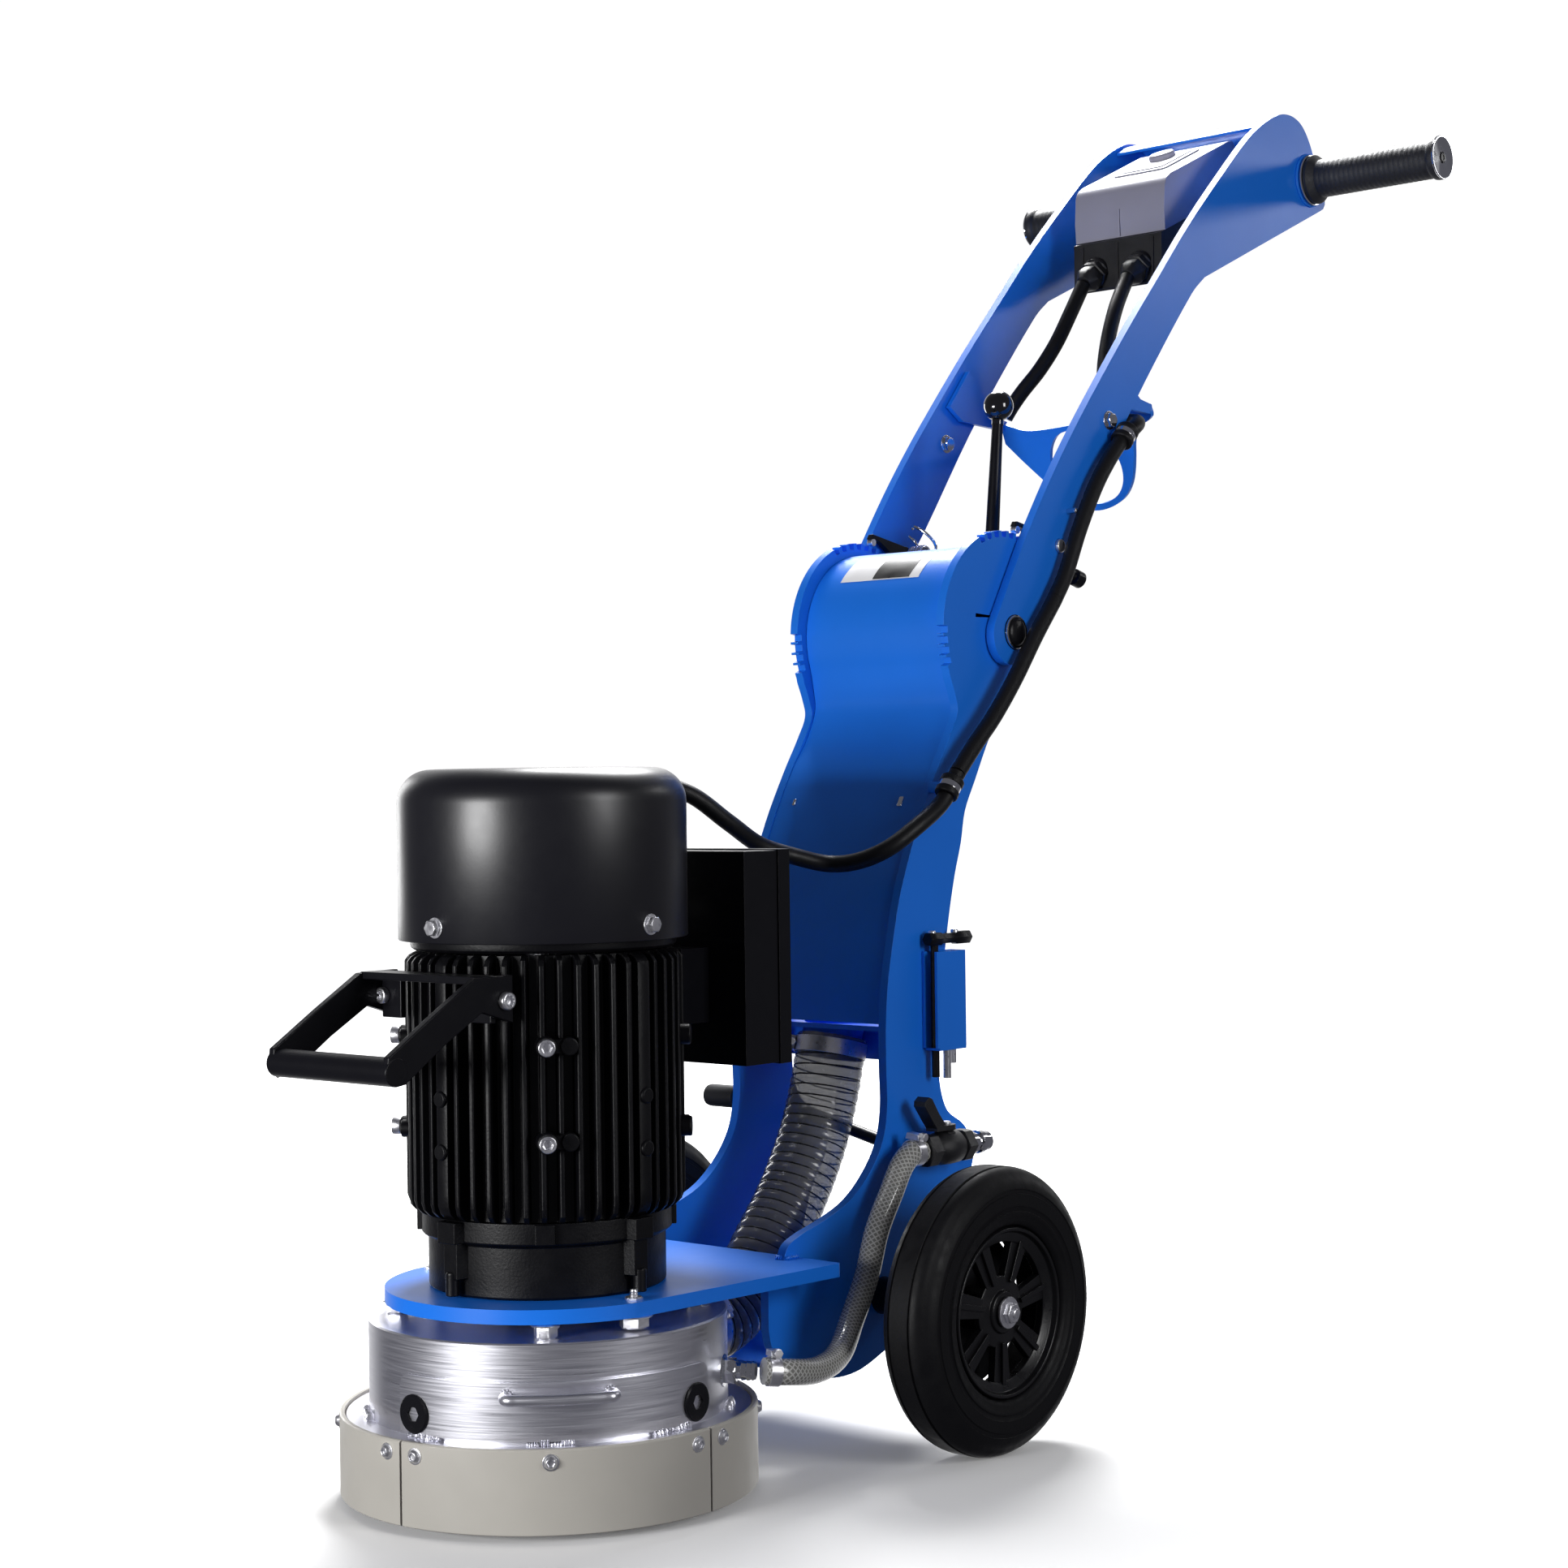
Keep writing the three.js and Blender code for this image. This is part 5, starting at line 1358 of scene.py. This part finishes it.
# ---------------------------------------------------------------- folding handle
def arms():
    front = [
        (482.4, 727.6), (522.6, 784.6), (559, 831), (599.7, 878.4), (645, 929), (691.5, 978.2),
        (747.8, 1037.6), (806, 1092.8), (853.8, 1135.1), (878, 1151.5), (899.6, 1162.7), (914, 1167.6),
        (927.4, 1169.1), (939, 1167.8), (949, 1164.1), (958, 1157), (967.3, 1145), (980, 1121), (993, 1097),
    ]
    back = [
        (984, 1084), (878, 1037.6), (772, 991), (755, 978), (740.5, 963.2), (700.9, 919), (643, 850),
        (572, 754), (521, 690), (488, 638),
    ]
    lower = arc(463, 647, 25, 325, 150, 20)
    outline = lower + pairs(smooth_line(front, 4)) + [(993.4, 1092), (990, 1087)] + back[:3]
    outline += pairs(smooth_line(back[2:], 4))[1:-1]
    holes = [
        circle(PIVOT.y, PIVOT.z, 12.3, 32), circle(GRIP.y, GRIP.z, 16.3, 40), circle(LATCH.y, LATCH.z, 6.4, 24),
    ]
    for name, x0, x1 in (("right", ARM_IN, ARM_OUT), ("left", -ARM_OUT, -ARM_IN)):
        arm = Piece(f"arm_{name}_plate", BLUE)
        arm.plate(outline, x0, x1, "YZ", holes)
        outside = x1 if x1 > 0 else x0
        way = Vector((1 if x1 > 0 else -1, 0, 0))
        boss = Vector((outside, GRIP.y, GRIP.z))
        collar = [(26, -1), (26, 1.2), (22, 3.2), (18, 3.4), (16.4, 3.4)]
        arm.loft(stack(boss, way, collar, 48), caps=False)
        arm.done("handle", [f"arm_{name}"], bevel=0.9, angle=25)
    hardware = Piece("arm_hardware", CHROME, BLACK)
    for x, y, z in ((ARM_OUT, 612, 843), (-ARM_IN, 607, 838)):
        hex_head(hardware.paint(0), Vector((x, y, z)), X, 6, 4.5, washer=True)
    hardware.lathe([(0, -2), (2.4, -2), (2.4, 9), (1.6, 10), (0, 10)], (ARM_OUT, 547, 758), X, 16, closed=False)
    stub = Vector((ARM_OUT, 556, 705))
    hardware.paint(1).lathe([(0, 0), (4.5, 0), (4.5, 8), (7.5, 9), (7.5, 18), (6.5, 19), (0, 19)],
                            stub + Vector((-8, 0, 0)), Vector((0.1, 0.95, -0.3)).normalized(), 24, closed=False)
    hardware.done("handle", bevel=0.3)


def cross_plate():
    low, high = box_mm("cross_plate")
    piece = Piece("head_cross_plate", BLUE)
    line = pairs(smooth_line([(892, 1153), (908, 1161.5), (927, 1165.5), (946, 1161), (958, 1147)], 6))
    piece.plate(ribbon(line, 3), low.x, high.x, "YZ")
    piece.done("handle", ["cross_plate"], bevel=0.5, angle=25)


def hanger_plate():
    top = Vector((0, 690, 862))
    down = Vector((0, 0.4, -0.917)).normalized()
    piece = Piece("hanger_eye_plate", BLUE)
    top_edge = pairs(smooth_line([
        (-84, -3), (-70, 3), (-59, 7), (-40, 8.4), (-23, 8), (8, 6), (40, 1), (72, -5),
    ], 4))
    right = pairs(smooth_line([
        (84, -3), (84, 8), (66, 18), (59, 30), (55, 44), (50, 59), (44, 71), (34, 82), (20, 89), (2, 92),
        (-14, 89),
        (-32, 78), (-48, 61), (-68, 38), (-84, 18),
    ], 4))
    eye = pairs(smooth_line([
        (-38, 37), (-34, 27), (-24, 16), (-10, 12), (12, 13), (27, 22), (36, 38), (39, 54), (36, 68), (27, 79),
        (11, 85), (-6, 84), (-20, 77), (-31, 66), (-37, 52), (-38, 37),
    ], 4))[:-1]
    piece.plate(top_edge + right, 0, 5, origin=top, axes=(X, down, X.cross(down)), holes=[eye])
    tab = [(606, 872), (636, 908), (664, 878), (676, 869), (694, 866), (696, 857), (626, 860)]
    for x0, x1 in ((-84.5, -79.5), (79.5, 84.5)):
        piece.plate(tab, x0, x1, "YZ")
    piece.done("handle", ["hanger_plate"], bevel=0.9, angle=25)


def grips():
    bar = Piece("grip_tube", CHROME)
    end = GRIP_END - 4.5
    bar.lathe([(13, -end), (16, -end), (16, end), (13, end)], (0, GRIP.y, GRIP.z), X, 48)
    bar.done("handle", ["handlebar"])
    for name, s in (("right", 1), ("left", -1)):
        way = Vector((s, 0, 0))
        centre = (0, GRIP.y, GRIP.z)
        grip = Piece(f"grip_{name}_sleeve", GRIP_RUBBER, CHROME, BLACK)
        start, stop = GRIP_IN, GRIP_END
        profile = [(16.3, start + 2), (22.5, start + 2), (23.6, start + 3.5), (23.6, start + 6),
                   (22, start + 8), (19.6, start + 10)]
        ribs = 22
        length = stop - 12 - (start + 12)
        for i in range(ribs):
            x = start + 12 + length * i / ribs
            step = length / ribs
            profile += [(18.2, x), (18.45, x + step * 0.3), (18.45, x + step * 0.65), (18.2, x + step * 0.95)]
        profile += [(18.4, stop - 10), (20.2, stop - 8), (20.6, stop - 6), (20.6, stop - 2.5), (20, stop - 2),
                    (0, stop - 2)]
        grip.lathe(profile, centre, way, 64, closed=False)
        ring = [(16.4, start), (24, start), (24.6, start + 1), (24, start + 2.2), (16.4, start + 2.2)]
        grip.paint(1).lathe(ring, centre, way, 64)
        cap = [(0, stop - 2), (20.4, stop - 2), (20.8, stop - 1), (20.2, stop), (18, stop - 0.1),
               (17, stop - 0.7), (7, stop - 0.5), (6, stop - 0.9), (0, stop - 0.9)]
        grip.lathe(cap, centre, way, 64, closed=False)
        face = Vector((s * (stop - 1.2), GRIP.y, GRIP.z))
        socket_head(grip.paint(2), face, way, 5.4, 1.0, 0.5, 0.4)
        grip.done("handle", [f"grip_{name}"], angle=35)


BOX_HALF = 51


def control_box():
    base = Piece("control_case", PLASTIC, STEEL)
    outline = [(768, 992), (766, 994), (766, 1038.7), (897, 1097.2), (903, 1054), (901, 1052)]
    base.plate(outline, -BOX_HALF + 1, BOX_HALF - 1, "YZ")
    way = Vector((0, -22, -14)).normalized()
    for x in (-25, 25):
        start = Vector((x, 768, 1011))
        base.loft(stack(start, way, [
            (14, -2), (14, 2), (12.4, 3, "hex"), (12.4, 9, "hex"), (10, 10),
            (11.2, 11, "hex"), (11.2, 19, "hex"), (9, 24), (7.2, 27),
        ], 32))
    hex_head(base.paint(1), Vector((34, 776, 996)), -Z, 3.4, 5, washer=True, stud=4)
    base.paint(0)
    for x in (-40, 0, 40):
        base.plate([(x - 1.5, 994), (x + 1.5, 994), (x + 1.5, 1036), (x - 1.5, 1036)], -766.4, -764.8, "XZ")
    base.done("handle", ["control_base"], bevel=1.2, segments=3)
    cover = Piece("control_lid", PALE, PLASTIC)
    profile = [
        (771, 1041.3), (769.5, 1060), (771, 1084), (774, 1091), (781, 1096.5),
        (884, 1143.5), (891, 1145), (896, 1141), (897, 1134), (897, 1097.6),
    ]
    cover.plate(profile, -BOX_HALF, BOX_HALF, "YZ")
    slope = Vector((0, 0.91, 0.415)).normalized()
    up = Vector((0, -0.415, 0.91)).normalized()
    origin = Vector((0, 836, 1121.6))
    for panel, low, high in ((round_rect(30, 36, 6), -0.2, 1.6), (round_rect(24, 30, 5), 1.5, 2.6)):
        cover.plate(panel, low, high, origin=origin, axes=(X, slope, X.cross(slope)))
    dial = [(13, 2), (13, 6), (11.5, 8), (6, 8.6), (1, 8.6)]
    cover.loft(stack(origin + slope * 12, up, dial, 40))
    seam = [(0, 1042), (1.0, 1042), (1.0, 1068), (0, 1068)]
    cover.plate(seam, -769.2, -768.4, "XZ")
    cover.done("handle", ["control_cover"], bevel=2.4, segments=4)


def buttons():
    for name, material, slot in (("start", GREEN, "green_button"), ("stop", RED, "red_button")):
        low, high = box_mm(f"{name}_button")
        x, z = (low.x + high.x) / 2, (low.z + high.z) / 2
        piece = Piece(f"{name}_push", material, CHROME)
        profile = [(9, low.y), (9, high.y - 2.2), (8.6, high.y - 1), (7.6, high.y - 0.3), (0, high.y + 0.2)]
        piece.lathe(profile, (x, 0, z), Y, 40, closed=False)
        bezel = [(8.2, high.y - 3.6), (9.2, high.y - 3.6), (9.2, high.y - 2.6), (8.2, high.y - 2.6)]
        piece.paint(1).lathe(bezel, (x, 0, z), Y, 40)
        piece.done(name, [f"{name}_button"], angle=40)


def latch():
    piece = Piece("latch_assembly", BLACK, KNOB, STEEL)
    y, z = LATCH.y, LATCH.z
    reach = ARM_OUT + 3
    piece.paint(2).lathe([(0, -reach), (5, -reach), (6, -reach + 1), (6, reach - 1), (5, reach), (0, reach)],
                         (0, y, z), X, 32, closed=False)
    ty, tz = tooth_at_rest()
    outline = arc(y, z, 11, -150, 95, 20) + [
        (ty - 1, tz + 7.3), (ty - 4, tz + 2.8), (ty + 4.9, tz + 2.3), (ty + 9.4, tz + 0.6),
        (ty + 17.4, tz - 4.1), (ty + 26.4, tz - 10.6),
    ]
    pawl = [(0, -2.75), (3.5, -2.75), (3.5, 2.75), (0, 2.75)]
    for s in (-1, 1):
        piece.lathe(pawl, (s * 79.75, ty, tz), X, 20, closed=False)
    for x0, x1 in ((-82.5, -77), (77, 82.5)):
        piece.paint(0).plate(outline, x0, x1, "YZ")
    foot, top = Vector((20, y, z)), Vector((20, 546, 848))
    line = [foot.lerp(top, i / 12) for i in range(13)]
    piece.paint(0).tube(line, 6, 24, radii=[6.4 - 1.6 * i / 12 for i in range(13)])
    piece.lathe([(6, -6), (11, -6), (11, 6), (6, 6)], (20, y, z), X, 32)
    way = (top - foot).normalized()
    knob = []
    for i in range(17):
        b = math.pi * i / 16
        knob.append((13.5 * math.sin(b), -13.5 * math.cos(b)))
    knob[0] = (5.5, -13)
    piece.paint(1).lathe([(5.5, -17), *knob], Vector((20, 547, 857)), way, 48, closed=False)
    piece.done("latch_lever", ["latch"], bevel=0.4, angle=40)
    spring = Piece("latch_torsion_spring", CHROME)
    coil = [(-80, y + 8, z + 21), (-74, y + 12, z + 14)]
    turns = 5
    for i in range(turns * 16 + 1):
        b = i / 16 * 2 * math.pi
        coil.append((-68 + i / 16 * 3.0, y + 9.6 * math.cos(b), z + 9.6 * math.sin(b)))
    coil += [(-50, y + 10, z + 10), (-56, y + 3, z + 22), (-69, y, z + 29), (-72, y + 4, z + 27)]
    spring.tube(smooth_line(coil, 3), 1.4, 10)
    spring.done("handle", ["latch_spring"], angle=60)


# ---------------------------------------------------------------- nodes kept from the frame
def keep_nodes():
    """Gives the inner CAD nodes, which no piece replaces, a material of their own."""
    kept = {
        "motor_shaft": STEEL, "drive_hub": CAST, "grinding_disc": CAST, "rotor_core": STEEL,
        "cooling_fan": PLASTIC, "stator_core": COPPER, "bearing_bottom": CHROME, "bearing_top": CHROME,
        "diamond_shoe_1": SINTER, "diamond_shoe_2": SINTER, "diamond_shoe_3": SINTER,
    }
    for node, material in kept.items():
        obj = frame["nodes"][node]
        obj.data.materials.clear()
        obj.data.materials.append(material)


guard_drum()
guard_door()
skirt()
base_plate()
motor_flange()
motor_housing()
end_shield()
fan_cover()
front_handle()
terminal_box()
side_plate("column_plate_right", "side_plate_right", PLATE_IN, PLATE_OUT)
side_plate("column_plate_left", "side_plate_left", -PLATE_OUT, -PLATE_IN)
belly_pan()
column_sheet()
dust_port()
tool_holder()
hex_key()
pivot_parts()
axle()
wheel("right", 1)
wheel("left", -1)
vacuum_hose()
water_hose()
valve()
cables()
arms()
cross_plate()
hanger_plate()
grips()
control_box()
buttons()
latch()
keep_nodes()
